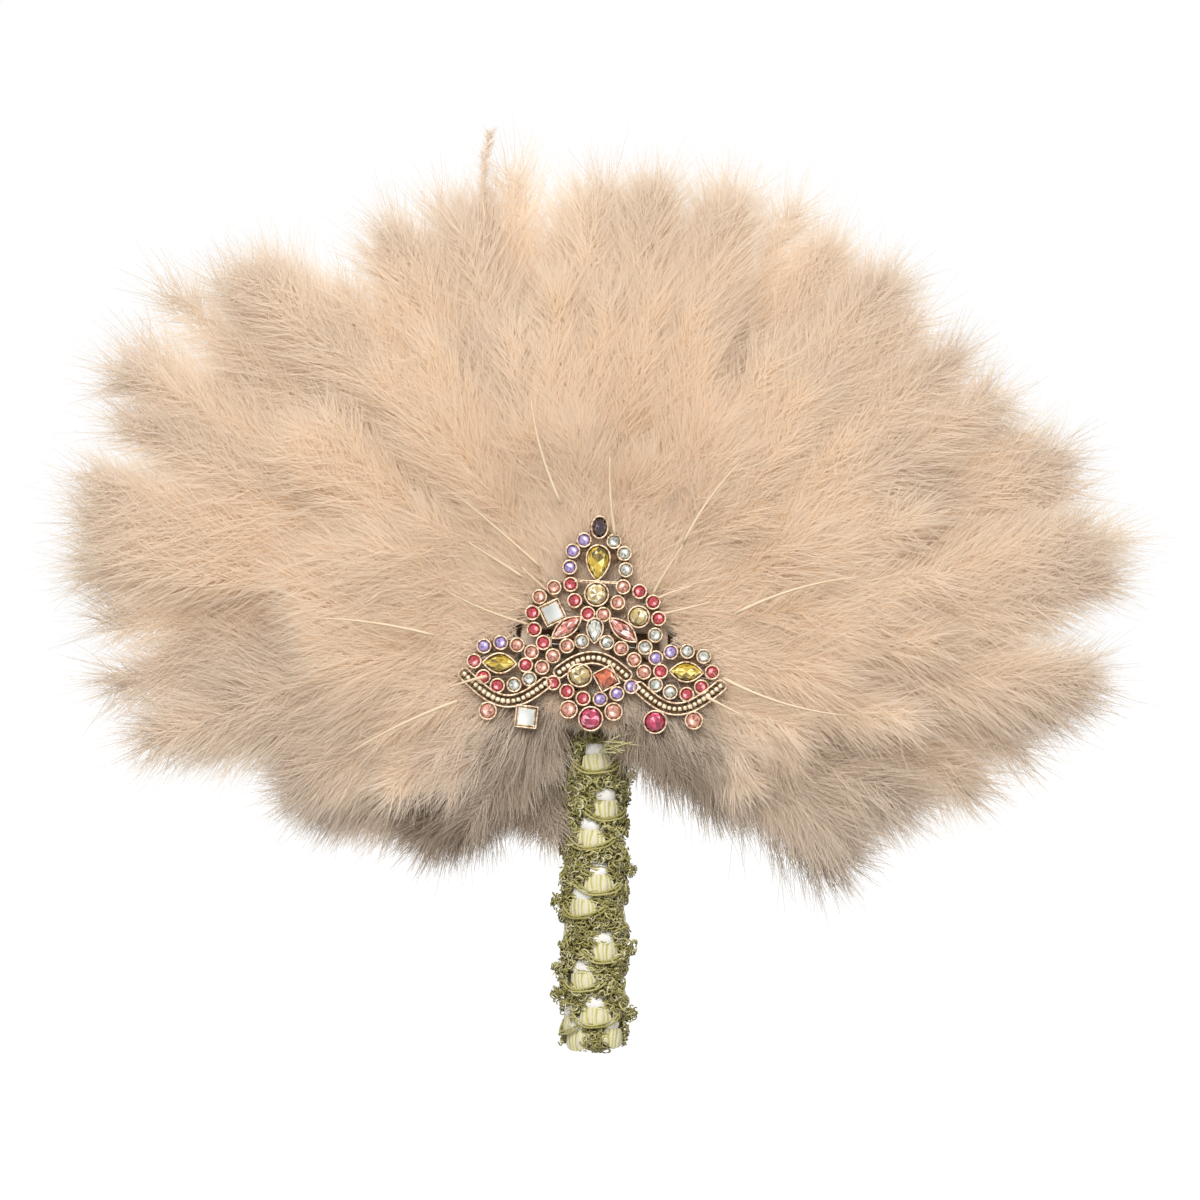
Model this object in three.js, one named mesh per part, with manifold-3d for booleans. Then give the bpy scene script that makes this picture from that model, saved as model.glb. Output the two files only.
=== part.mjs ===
// A hand-held marabou feather fan with a bezel-set brooch pinned over its hub.
// Units are millimetres. The fan is drawn as seen from the front, with x to the right,
// y up the handle and z towards the viewer, and is then turned so that +Z is up and
// the front faces -Y. The origin is the middle of the hand grip, on the handle's axis.
import * as THREE from "three";
import { mergeVertices } from "three/addons/utils/BufferGeometryUtils.js";
import Module from "manifold-3d";

const wasm = await Module();
wasm.setup();
const { degToRad, lerp, smoothstep } = THREE.MathUtils;

// Clearances
const SEAT_GAP = 0.3; // between pieces that rest on each other
const RUNNING_GAP = 0.1; // around the rivet of the pin's hinge
const WELD_DISTANCE = 1e-4; // corners closer than this are one corner

// Handle: a dowel with a flat tongue, a satin ribbon over it and a lace trim wound round that
const DOWEL_DIAMETER = 14;
const DOWEL_LENGTH = 101; // the round part, from the butt to the shoulder
const DOWEL_CHAMFER = 0.8;
const TONGUE_WIDTH = 12;
const TONGUE_THICKNESS = 4;
const TONGUE_REACH = 8; // past the hub's centre
const RIBBON_THICKNESS = 0.8;
const LACE_THICKNESS = 1.5;
const LACE_WIDTH = 9.4;
const LACE_PITCH = 10.8;
const LACE_MARGIN = 1; // ribbon left bare at each end
const LACE_STEPS_PER_TURN = 24;

// Hub: two plywood boards glued to the tongue, with a felt pad on each outer face
const BOARD_RADIUS = 28;
const SHOULDER_GAP = 1.5; // from the handle's shoulder to the boards' edge
const BOARD_THICKNESS = 2.5;
const PAD_RADIUS = 24;
const FRONT_PAD_THICKNESS = 8;
const BACK_PAD_THICKNESS = 3;

// Plumage: tufts of marabou plumes in three tiers, each tuft reaching out from the hub.
// A reach is that of the tier's longest tuft, from the hub's centre, and the shortfalls are how much
// shorter each tuft is, clockwise from the handle. An opening is the angle in degrees, between the
// first and last tuft, that is left for the handle.
const OUTER_REACH = 184;
const OUTER_SHORTFALLS = [100, 72, 54, 12, 6, 0, 23, 27, 21, 24, 26, 14, 8, 36, 66, 118];
const OUTER_OPENING = 66; // degrees
const OUTER_SPREAD = 33; // degrees that a vane covers, so that neighbours overlap
const OUTER_PARTING = 8; // the run over which neighbours part to the front and the back
const OUTER_THICKNESS = 18;
const OUTER_STEM_WIDTH = 3.2;
const FRONT_REACH = 118;
const FRONT_SHORTFALLS = [44, 18, 4, 0, 4, 4, 2, 14, 52];
const FRONT_OPENING = 88; // degrees
const FRONT_THICKNESS = 16;
const BACK_REACH = 116;
const BACK_SHORTFALLS = [30, 8, 0, 0, 8, 36];
const BACK_OPENING = 130; // degrees
const BACK_THICKNESS = 16;
const COVER_STEM_THICKNESS = 2; // the bundled quills of a front or back tuft
const COVER_STEM_WIDTH = 4;
const STEM_ROOT_RADIUS = 15; // where the quills start
const TUFT_GAP = 1.2; // between neighbours in a tier
const VANE_MARGIN = 2; // bare quill past the edge that covers it
const VANE_RISE = 40; // the run over which a tuft swells to its full thickness
const VANE_STATIONS = [0.06, 0.14, 0.3, 0.5, 0.7, 0.82, 0.92, 0.98, 1];
const VANE_OPENING = 0.14; // share of the vane over which it widens
const TIP_START = 0.68; // share of the vane where it starts to round off
const TIP_WIDTH_SHARE = 0.2; // what is left of the width at the very tip
const TIP_THICKNESS_SHARE = 0.4; // and of the thickness
const TUFT_SIDES = 8;

// Brooch: a cast setting with bezels, a beaded rail and stones, tilted a little on the hub
const BROOCH_TILT = 2.7; // degrees, the top leaning right
const PLATE_THICKNESS = 1;
const PLATE_HALF_OUTLINE = [
  [2.5, 40], [7, 35.5], [10.5, 30], [11, 22], [15.5, 19.5], [20, 15.5], [22, 9], [21, 1.5], [35.5, 0.5],
  [39.5, -5], [41, -10], [36, -17.5], [28, -21], [20, -18], [15, -13], [10, -16], [9, -21], [3, -26],
];
const RAIL_MIDDLE = -10.8; // height of the wave's middle line above the hub's centre
const RAIL_AMPLITUDE = 9.3;
const RAIL_WAVELENGTH = 54;
const RAIL_END = 3.9; // rail past the outermost cups' centres
const RAIL_WIDTH = 3.4;
const RAIL_HEIGHT = 2.4;
const RAIL_STEPS = 28;
const CUP_RADIUS = 2.55; // small bezel cups, each with its stone in it
const CUP_HEIGHT = 2.5;
const CUP_CROWN_RADIUS = 1.5;
const CUP_CROWN_HEIGHT = 3.3;
const CUP_SIDES = 6;
// Across and up from the hub's centre; each entry is set on the right and mirrored on the left.
const CUP_PAIRS = [
  [4.8, 33.7], [8.25, 30], [9, 24.8], [8.4, 19.3], [13.7, 18.1], [18.2, 14.9], [6.9, 14.2], [20.2, 9.7],
  [19.4, 4.4], [2.5, 10.2], [4, 1.3], [8.7, -0.4], [16.3, 0.3], [13, -3.8], [16.3, -7.6],
  [35.2, -1.7], [29.9, -0.3], [24.6, -0.8], [19.9, -2.9], [38.1, -6.6], [21.6, -7.1],
  [34.9, -11.5], [30.3, -14.1], [25, -13.6], [20.2, -11.5], [12.5, -12.4], [8, -14.9], [2.75, -16.9],
  [7.2, -20.7], [33, -22.3],
];
const BEZEL_WALL = 0.6;
const BEZEL_HEIGHT = 3;
const POCKET_FLOOR = 1.2;
const STONE_GIRDLE = 2.8; // heights above the setting's back
const STONE_TABLE = 4.2;
const STONE_CULET_SHARE = 0.6; // width of the stone's foot and table against its girdle
const STONE_TABLE_SHARE = 0.55;
const STONE_SIDES = 12;
const PEAR_TAPER = 0.3; // how softly a pear-shaped stone narrows to its foot
const ONYX = 0x2a1820;
const CITRINE = 0xb89a28;
const CHAMPAGNE = 0xd8c890;
const ROSE = 0xd89088;
const CRYSTAL = 0xd8dcd4;
const AMBER = 0xcc6a40;
const MAGENTA = 0xb82a58;
const MIRROR = 0xc8ccc8;
// Name, cut, across and up from the hub's centre, width, height, tilt in degrees, colour
const STONES = [
  ["finial_stone", "oval", 0, 38, 4.2, 6, 0, ONYX],
  ["crown_pear_stone", "pear", 0, 26.7, 8, 10.2, 0, CITRINE],
  ["crown_round_stone", "oval", 0, 16.6, 6.6, 6.6, 0, CHAMPAGNE],
  ["left_mirror_stone", "square", -13.8, 10, 5.8, 5.8, 28, MIRROR],
  ["right_round_stone", "oval", 13.8, 10, 5.8, 5.8, 0, CHAMPAGNE],
  ["left_rose_navette", "navette", -9, 5.5, 10.6, 4.2, 38, ROSE],
  ["right_rose_navette", "navette", 9, 5.5, 10.6, 4.2, -38, ROSE],
  ["centre_pear_stone", "pear", 0, 4.9, 4.4, 6.2, 0, CRYSTAL],
  ["left_wing_navette", "navette", -29.9, -6.9, 9.8, 5.4, 0, CITRINE],
  ["right_wing_navette", "navette", 29.9, -6.9, 9.8, 5.4, 0, CITRINE],
  ["centre_oval_stone", "oval", -4.1, -9.6, 6.6, 6.2, 0, CHAMPAGNE],
  ["centre_square_stone", "square", 4.4, -10.2, 5.4, 5.4, 30, AMBER],
  ["base_round_stone", "oval", 0, -23.3, 6.6, 6.6, 0, MAGENTA],
  ["left_drop_mirror", "square", -20.6, -23.6, 5.8, 5.8, -4, MIRROR],
  ["right_drop_stone", "oval", 20.6, -23.4, 6.2, 6.2, 0, MAGENTA],
].map(([name, cut, across, up, width, height, tilt, color]) => ({
  name, cut, across, up, width, height, tilt, color,
}));

// Brooch pin: a hinged stem on the setting's back, held by a rolling safety catch
const PIN_SPAN = 30; // from the hinge to the middle of the catch
const PIN_DEPTH = 2.4; // from the setting's back to the pin's axis
const PIN_ROOM = 4.8; // from the setting's back to the pad
const PIN_SWING = 15; // degrees the stem swings back before it meets the hub
const STEM_RADIUS = 0.5;
const STEM_POINT_RADIUS = 0.12;
const STEM_POINT_LENGTH = 7;
const STEM_OVERHANG = 3.6; // past the middle of the catch
const EYE_RADIUS = 1.15;
const EYE_LENGTH = 2.2;
const RIVET_RADIUS = 0.5;
const RIVET_HEAD_RADIUS = 0.9;
const RIVET_HEAD_THICKNESS = 0.4;
const BRACKET_LENGTH = 2.8;
const BRACKET_BASE = 0.6;
const BRACKET_EAR = 0.8;
const BRACKET_DROP = 1.2; // ear past the rivet's axis
const ROLLER_WALL = 0.55;
const ROLLER_LENGTH = 4.6;
const BARREL_WALL = 0.45;
const BARREL_LENGTH = 3;
const SLOT_WIDTH = 1.5; // the mouth that the stem goes through
const TAB_LENGTH = 2.2;
const TAB_WIDTH = 1.2;
const TAB_THICKNESS = 0.8;
const STRAP_WIDTH = 10;
const STRAP_THICKNESS = 0.6;
const STRAP_FOOT = 6;
const STRAP_CREST = 5; // flat part of the strap over the stem
const WINDOW_MARGIN = 2; // felt cut away past the pin's pieces
const WINDOW_HEIGHT = 9.2;
const ROUND_SIDES = 16;

// Planes and radii that pieces share
const BUTT = -DOWEL_LENGTH / 2;
const SHOULDER = DOWEL_LENGTH / 2;
const HUB_HEIGHT = SHOULDER + SHOULDER_GAP + BOARD_RADIUS; // the hub's centre above the grip's middle
const RIBBON_INNER = DOWEL_DIAMETER / 2 + SEAT_GAP;
const RIBBON_OUTER = RIBBON_INNER + RIBBON_THICKNESS;
const RIBBON_END = BUTT - SEAT_GAP - RIBBON_THICKNESS;
const BOARD_INNER_FACE = TONGUE_THICKNESS / 2 + SEAT_GAP;
const BOARD_FACE = BOARD_INNER_FACE + BOARD_THICKNESS;
const PAD_SEAT = BOARD_FACE + COVER_STEM_THICKNESS + 2 * SEAT_GAP;
const FRONT_PAD_FACE = PAD_SEAT + FRONT_PAD_THICKNESS;
const SETTING_BACK = FRONT_PAD_FACE + PIN_ROOM;
const RAIL_HALF_SPAN = Math.max(...CUP_PAIRS.map(([across]) => across)) + RAIL_END;
const HINGE_X = -PIN_SPAN / 2;
const CATCH_X = PIN_SPAN / 2;
const ROLLER_INNER = STEM_RADIUS + SEAT_GAP;
const ROLLER_OUTER = ROLLER_INNER + ROLLER_WALL;
const BARREL_INNER = ROLLER_OUTER + SEAT_GAP;
const BARREL_OUTER = BARREL_INNER + BARREL_WALL;
const EAR_INNER = EYE_LENGTH / 2 + SEAT_GAP;
const EAR_OUTER = EAR_INNER + BRACKET_EAR;
const OUTER_REACHES = OUTER_SHORTFALLS.map((shortfall) => OUTER_REACH - shortfall);
const FRONT_REACHES = FRONT_SHORTFALLS.map((shortfall) => FRONT_REACH - shortfall);
const BACK_REACHES = BACK_SHORTFALLS.map((shortfall) => BACK_REACH - shortfall);
const OUTER_SPACING = tierSpacing(OUTER_REACHES, OUTER_OPENING);
const FRONT_SPACING = tierSpacing(FRONT_REACHES, FRONT_OPENING);
const BACK_SPACING = tierSpacing(BACK_REACHES, BACK_OPENING);
const OUTER_VANE_START = BOARD_RADIUS + VANE_MARGIN;
const COVER_VANE_START = PAD_RADIUS + VANE_MARGIN;

// Finishes
const FEATHER = { color: 0xe6c4a6, roughness: 0.9, metalness: 0 };
const WOOD = { color: 0xc9a878, roughness: 0.7, metalness: 0 };
const SATIN = { color: 0xf0ece8, roughness: 0.4, metalness: 0 };
const LACE = { color: 0xa4986c, roughness: 0.8, metalness: 0 };
const FELT = { color: 0xe0c8b0, roughness: 0.95, metalness: 0 };
const GILT = { color: 0xcdae86, roughness: 0.4, metalness: 0.9 };
const STEEL = { color: 0xc8c4bc, roughness: 0.3, metalness: 1 };

const fan = new THREE.Group();
const front = new THREE.Group(); // the front view's frame, stood upright
front.rotation.x = Math.PI / 2;
fan.add(front);
const hub = new THREE.Group();
hub.position.y = HUB_HEIGHT;
front.add(hub);
const brooch = new THREE.Group(); // z is 0 on the setting's back
brooch.position.z = SETTING_BACK;
brooch.rotation.z = -degToRad(BROOCH_TILT);
hub.add(brooch);

function addPiece(group, name, geometry, finish) {
  const mesh = new THREE.Mesh(geometry, new THREE.MeshStandardMaterial(finish));
  mesh.name = name;
  group.add(mesh);
  return mesh;
}

// A closed geometry as a solid that can be joined and cut.
function solid(geometry) {
  const bare = geometry.clone();
  bare.deleteAttribute("normal");
  bare.deleteAttribute("uv");
  const merged = mergeVertices(bare, WELD_DISTANCE);
  return new wasm.Manifold(
    new wasm.Mesh({
      numProp: 3,
      vertProperties: new Float32Array(merged.attributes.position.array),
      triVerts: new Uint32Array(merged.index.array),
    }),
  );
}

function geometryOf(made) {
  const mesh = made.getMesh();
  const geometry = new THREE.BufferGeometry();
  geometry.setAttribute("position", new THREE.BufferAttribute(mesh.vertProperties, 3));
  geometry.setIndex(new THREE.BufferAttribute(mesh.triVerts, 1));
  return geometry;
}

// A closed skin over rings of points that have equal counts, with flat ends.
function loft(rings) {
  const sides = rings[0].length;
  const corners = rings.flat();
  const faces = [];
  for (let ring = 0; ring + 1 < rings.length; ring++) {
    for (let side = 0; side < sides; side++) {
      const here = ring * sides + side;
      const beside = ring * sides + ((side + 1) % sides);
      faces.push(here, beside, beside + sides, here, beside + sides, here + sides);
    }
  }
  const last = (rings.length - 1) * sides;
  for (let side = 1; side + 1 < sides; side++) {
    faces.push(0, side + 1, side);
    faces.push(last, last + side, last + side + 1);
  }
  const geometry = new THREE.BufferGeometry().setFromPoints(corners);
  geometry.setIndex(faces);
  return geometry;
}

// A flat outline in the front view, given depth towards the viewer from a back plane.
function plate(shape, back, depth) {
  const options = { depth, curveSegments: ROUND_SIDES, bevelEnabled: false };
  const geometry = new THREE.ExtrudeGeometry(shape, options);
  geometry.translate(0, 0, back);
  return geometry;
}

// An outline in the plane across the pin, whose first axis is y and second is z, drawn along x.
function alongPin(shape, start, length) {
  const options = { depth: length, curveSegments: ROUND_SIDES, bevelEnabled: false };
  const geometry = new THREE.ExtrudeGeometry(shape, options);
  const turn = new THREE.Matrix4().makeBasis(
    new THREE.Vector3(0, 1, 0),
    new THREE.Vector3(0, 0, 1),
    new THREE.Vector3(1, 0, 0),
  );
  geometry.applyMatrix4(turn);
  geometry.translate(start, 0, 0);
  return geometry;
}

function shapeFrom(points) {
  return new THREE.Shape(points.map(([x, y]) => new THREE.Vector2(x, y)));
}

function disc(radius) {
  return new THREE.Shape().absarc(0, 0, radius, 0, 2 * Math.PI);
}

function lathe(points, sides) {
  return new THREE.LatheGeometry(points.map(([x, y]) => new THREE.Vector2(x, y)), sides);
}

function addHandle() {
  const radius = DOWEL_DIAMETER / 2;
  const round = lathe(
    [
      [0, BUTT],
      [radius - DOWEL_CHAMFER, BUTT],
      [radius, BUTT + DOWEL_CHAMFER],
      [radius, SHOULDER],
      [0, SHOULDER],
    ],
    2 * ROUND_SIDES,
  );
  const buried = DOWEL_CHAMFER; // the tongue starts inside the round part
  const tongueLength = HUB_HEIGHT + TONGUE_REACH - SHOULDER + buried;
  const tongue = new THREE.BoxGeometry(TONGUE_WIDTH, tongueLength, TONGUE_THICKNESS);
  tongue.translate(0, SHOULDER - buried + tongueLength / 2, 0);
  addPiece(front, "handle_dowel", geometryOf(solid(round).add(solid(tongue))), WOOD);

  const ribbon = lathe(
    [
      [0, RIBBON_END],
      [RIBBON_OUTER - DOWEL_CHAMFER, RIBBON_END],
      [RIBBON_OUTER, RIBBON_END + DOWEL_CHAMFER],
      [RIBBON_OUTER, SHOULDER],
      [RIBBON_INNER, SHOULDER],
      [RIBBON_INNER, BUTT - SEAT_GAP],
      [0, BUTT - SEAT_GAP],
    ],
    2 * ROUND_SIDES,
  );
  addPiece(front, "handle_ribbon", ribbon, SATIN);
  addPiece(front, "lace_trim", laceTrim(), LACE);
}

// The lace is one band wound down the ribbon, falling to the right across the front.
function laceTrim() {
  const inner = RIBBON_OUTER + SEAT_GAP;
  const section = [
    [0, 0.42], [0.55, 0.5], [1, 0.3], [1, -0.3], [0.55, -0.5], [0, -0.42],
  ]; // shares of the band's thickness and width
  const top = SHOULDER - LACE_MARGIN - LACE_WIDTH / 2;
  const bottom = RIBBON_END + DOWEL_CHAMFER + LACE_MARGIN + LACE_WIDTH / 2;
  const steps = Math.floor(((top - bottom) / LACE_PITCH) * LACE_STEPS_PER_TURN);
  const rings = [];
  for (let step = 0; step <= steps; step++) {
    const angle = (2 * Math.PI * step) / LACE_STEPS_PER_TURN;
    const height = top - (LACE_PITCH * step) / LACE_STEPS_PER_TURN;
    rings.push(
      section.map(([out, along]) => {
        const radius = inner + out * LACE_THICKNESS;
        const y = height + along * LACE_WIDTH;
        return new THREE.Vector3(radius * Math.sin(angle), y, radius * Math.cos(angle));
      }),
    );
  }
  console.log("lace_trim: least gap to itself", leastSelfGap(rings).toFixed(2), "mm");
  return loft(rings);
}

// The shortest distance between points that lie half a turn or more apart along the band.
function leastSelfGap(rings) {
  let least = Infinity;
  for (let a = 0; a < rings.length; a++) {
    for (let b = a + LACE_STEPS_PER_TURN / 2; b < rings.length; b++) {
      for (const p of rings[a]) {
        for (const q of rings[b]) least = Math.min(least, p.distanceTo(q));
      }
    }
  }
  return least;
}

function addHub() {
  const board = disc(BOARD_RADIUS);
  addPiece(hub, "front_board", plate(board, BOARD_INNER_FACE, BOARD_THICKNESS), WOOD);
  addPiece(hub, "back_board", plate(board, -BOARD_FACE, BOARD_THICKNESS), WOOD);
  const backPad = plate(disc(PAD_RADIUS), -PAD_SEAT - BACK_PAD_THICKNESS, BACK_PAD_THICKNESS);
  addPiece(hub, "back_pad", backPad, FELT);

  const frontPad = disc(PAD_RADIUS);
  const left = HINGE_X - BRACKET_LENGTH / 2 - WINDOW_MARGIN;
  const right = CATCH_X + STEM_OVERHANG + WINDOW_MARGIN;
  const half = WINDOW_HEIGHT / 2;
  frontPad.holes.push(shapeFrom([[left, -half], [left, half], [right, half], [right, -half]]));
  const padBack = -PIN_ROOM - FRONT_PAD_THICKNESS;
  addPiece(brooch, "front_pad", plate(frontPad, padBack, FRONT_PAD_THICKNESS), FELT);
}

// Degrees from tuft to tuft in a tier.
function tierSpacing(reaches, opening) {
  return (360 - opening) / (reaches.length - 1);
}

// Half the thickness of an outer tuft at a distance from the hub's centre.
function outerHalf(radius) {
  const rise = smoothstep(radius, OUTER_VANE_START, OUTER_VANE_START + VANE_RISE);
  return lerp(TONGUE_THICKNESS, OUTER_THICKNESS, rise) / 2;
}

// Half the thickness of a front or back tuft, whose full thickness is given.
function coverHalf(radius, thickness) {
  const rise = smoothstep(radius, COVER_VANE_START, COVER_VANE_START + VANE_RISE);
  return lerp(COVER_STEM_THICKNESS, thickness, rise) / 2;
}

// The middle plane of a front or back tuft, which lies on the board and then on the outer tier.
function coverMiddle(radius, thickness) {
  return Math.max(BOARD_FACE, outerHalf(radius)) + SEAT_GAP + coverHalf(radius, thickness);
}

// Half the width of a vane that covers an angle, at a distance from the hub's centre.
function sectorHalf(radius, angle) {
  return radius * Math.tan(degToRad(angle) / 2) - TUFT_GAP / 2;
}

// A tuft is a leaf along +y: a bundle of quills, then a vane with a rounded tip.
function tuft(reach, vaneStart, stemWidth, sectorAt, halfAt, middleAt) {
  const vaneLength = reach - vaneStart;
  const stations = [STEM_ROOT_RADIUS, vaneStart];
  stations.push(...VANE_STATIONS.map((share) => vaneStart + share * vaneLength));
  const rings = stations.map((radius) => {
    const share = Math.max(0, (radius - vaneStart) / vaneLength);
    const sector = Math.max(sectorAt(radius), stemWidth / 2);
    const towardsTip = Math.max(0, (share - TIP_START) / (1 - TIP_START));
    const rounding = Math.sqrt(1 - towardsTip ** 2);
    const opening = smoothstep(share, 0, VANE_OPENING);
    const fullWidth = lerp(stemWidth / 2, sector, opening);
    const halfWidth = fullWidth * Math.max(TIP_WIDTH_SHARE, rounding);
    const halfThickness = halfAt(radius) * Math.max(TIP_THICKNESS_SHARE, rounding);
    const middle = middleAt(radius);
    return Array.from({ length: TUFT_SIDES }, (_, side) => {
      const angle = (-2 * Math.PI * side) / TUFT_SIDES;
      const x = halfWidth * Math.cos(angle);
      const z = middle + halfThickness * Math.sin(angle);
      return new THREE.Vector3(x, radius, z);
    });
  });
  return loft(rings);
}

function addTier(name, reaches, spacing, makeTuft) {
  reaches.forEach((reach, index) => {
    const number = String(index + 1).padStart(2, "0");
    const piece = addPiece(hub, `${name}_tuft_${number}`, makeTuft(reach, index), FEATHER);
    piece.rotation.z = -degToRad((index - (reaches.length - 1) / 2) * spacing);
  });
}

function addPlumage() {
  addTier("outer", OUTER_REACHES, OUTER_SPACING, outerTuft);
  addCover("front", FRONT_REACHES, FRONT_SPACING, FRONT_THICKNESS, 1);
  addCover("back", BACK_REACHES, BACK_SPACING, BACK_THICKNESS, -1);
}

// The outer quills lie between the boards. Past them each vane takes the front or the back half
// of the tier's thickness, by turns, and widens over its neighbours.
function outerTuft(reach, index) {
  const side = index % 2 === 0 ? 1 : -1;
  const parted = (radius) => smoothstep(radius, OUTER_VANE_START, OUTER_VANE_START + OUTER_PARTING);
  const sectorAt = (radius) => {
    const start = OUTER_VANE_START + OUTER_PARTING;
    const spread = smoothstep(radius, start, start + OUTER_PARTING);
    return sectorHalf(radius, lerp(OUTER_SPACING, OUTER_SPREAD, spread));
  };
  const halfAt = (radius) => {
    const whole = outerHalf(radius);
    return lerp(whole, (whole - SEAT_GAP / 2) / 2, parted(radius));
  };
  const middleAt = (radius) => {
    const aside = (outerHalf(radius) + SEAT_GAP / 2) / 2;
    return side * aside * parted(radius);
  };
  return tuft(reach, OUTER_VANE_START, OUTER_STEM_WIDTH, sectorAt, halfAt, middleAt);
}

function addCover(name, reaches, spacing, thickness, side) {
  const sectorAt = (radius) => sectorHalf(radius, spacing);
  const halfAt = (radius) => coverHalf(radius, thickness);
  const middleAt = (radius) => side * coverMiddle(radius, thickness);
  addTier(name, reaches, spacing, (reach) =>
    tuft(reach, COVER_VANE_START, COVER_STEM_WIDTH, sectorAt, halfAt, middleAt),
  );
}

// A stone's outline round its own centre, as a list of x and y.
function stoneOutline({ cut, width, height }, grow) {
  const a = width / 2 + grow;
  const b = height / 2 + grow;
  if (cut === "square") return [[-a, -b], [a, -b], [a, b], [-a, b]];
  return Array.from({ length: STONE_SIDES }, (_, corner) => {
    const angle = (2 * Math.PI * corner) / STONE_SIDES;
    const x = Math.cos(angle);
    const y = Math.sin(angle);
    if (cut === "navette") return [a * x, b * y * Math.abs(y)];
    if (cut === "pear") return [a * x * ((1 + y) / 2) ** PEAR_TAPER, b * y];
    return [a * x, b * y];
  });
}

function placed(stone, grow) {
  const turn = degToRad(stone.tilt);
  return stoneOutline(stone, grow).map(([x, y]) => [
    stone.across + x * Math.cos(turn) - y * Math.sin(turn),
    stone.up + x * Math.sin(turn) + y * Math.cos(turn),
  ]);
}

// A faceted stone: foot, girdle and table.
function stoneGeometry(stone) {
  const outline = placed(stone, 0);
  const level = (height, share) =>
    outline.map(([x, y]) => {
      const inX = lerp(stone.across, x, share);
      const inY = lerp(stone.up, y, share);
      return new THREE.Vector3(inX, inY, height);
    });
  return loft([
    level(POCKET_FLOOR + SEAT_GAP, STONE_CULET_SHARE),
    level(STONE_GIRDLE, 1),
    level(STONE_TABLE, STONE_TABLE_SHARE),
  ]);
}

function railOutline() {
  const upper = [];
  const lower = [];
  const pulse = (2 * Math.PI) / RAIL_WAVELENGTH;
  for (let step = 0; step <= RAIL_STEPS; step++) {
    const x = lerp(-RAIL_HALF_SPAN, RAIL_HALF_SPAN, step / RAIL_STEPS);
    const y = RAIL_MIDDLE + RAIL_AMPLITUDE * Math.cos(pulse * x);
    const slope = -RAIL_AMPLITUDE * pulse * Math.sin(pulse * x);
    const reach = RAIL_WIDTH / 2 / Math.hypot(1, slope);
    upper.push([x - slope * reach, y + reach]);
    lower.unshift([x + slope * reach, y - reach]);
  }
  return [...upper, ...lower];
}

function addSetting() {
  const mirrored = PLATE_HALF_OUTLINE.map(([x, y]) => [-x, y]).reverse();
  const joined = [
    solid(plate(shapeFrom([...PLATE_HALF_OUTLINE, ...mirrored]), 0, PLATE_THICKNESS)),
    solid(plate(shapeFrom(railOutline()), 0, RAIL_HEIGHT)),
  ];
  const cup = lathe(
    [
      [0, 0],
      [CUP_RADIUS, 0],
      [CUP_RADIUS, CUP_HEIGHT],
      [CUP_CROWN_RADIUS, CUP_CROWN_HEIGHT],
      [0, CUP_CROWN_HEIGHT],
    ],
    CUP_SIDES,
  );
  cup.rotateX(Math.PI / 2);
  for (const [across, up] of CUP_PAIRS) {
    joined.push(solid(cup.clone().translate(across, up, 0)));
    joined.push(solid(cup.clone().translate(-across, up, 0)));
  }
  for (const stone of STONES) {
    const outside = shapeFrom(placed(stone, SEAT_GAP + BEZEL_WALL));
    joined.push(solid(plate(outside, 0, BEZEL_HEIGHT)));
  }
  let setting = joined.reduce((whole, next) => whole.add(next));
  for (const stone of STONES) {
    const pocket = plate(shapeFrom(placed(stone, SEAT_GAP)), POCKET_FLOOR, STONE_TABLE);
    setting = setting.subtract(solid(pocket));
    const finish = { color: stone.color, roughness: 0.08, metalness: 0 };
    addPiece(brooch, stone.name, stoneGeometry(stone), finish);
  }
  addPiece(brooch, "brooch_setting", geometryOf(setting), GILT);
}

// A tube's section with a mouth towards the back, where the stem goes in.
function openTube(inner, outer) {
  const mouth = Math.asin(SLOT_WIDTH / 2 / inner);
  const start = mouth - Math.PI / 2;
  const end = 1.5 * Math.PI - mouth;
  const shape = new THREE.Shape();
  shape.absarc(0, -PIN_DEPTH, outer, start, end, false);
  shape.absarc(0, -PIN_DEPTH, inner, end, start, true);
  return shape;
}

// A round bar along y on the hinge's axis.
function hingeBar(radius, length) {
  const bar = new THREE.CylinderGeometry(radius, radius, length, ROUND_SIDES);
  bar.translate(HINGE_X, 0, -PIN_DEPTH);
  return bar;
}

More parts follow.
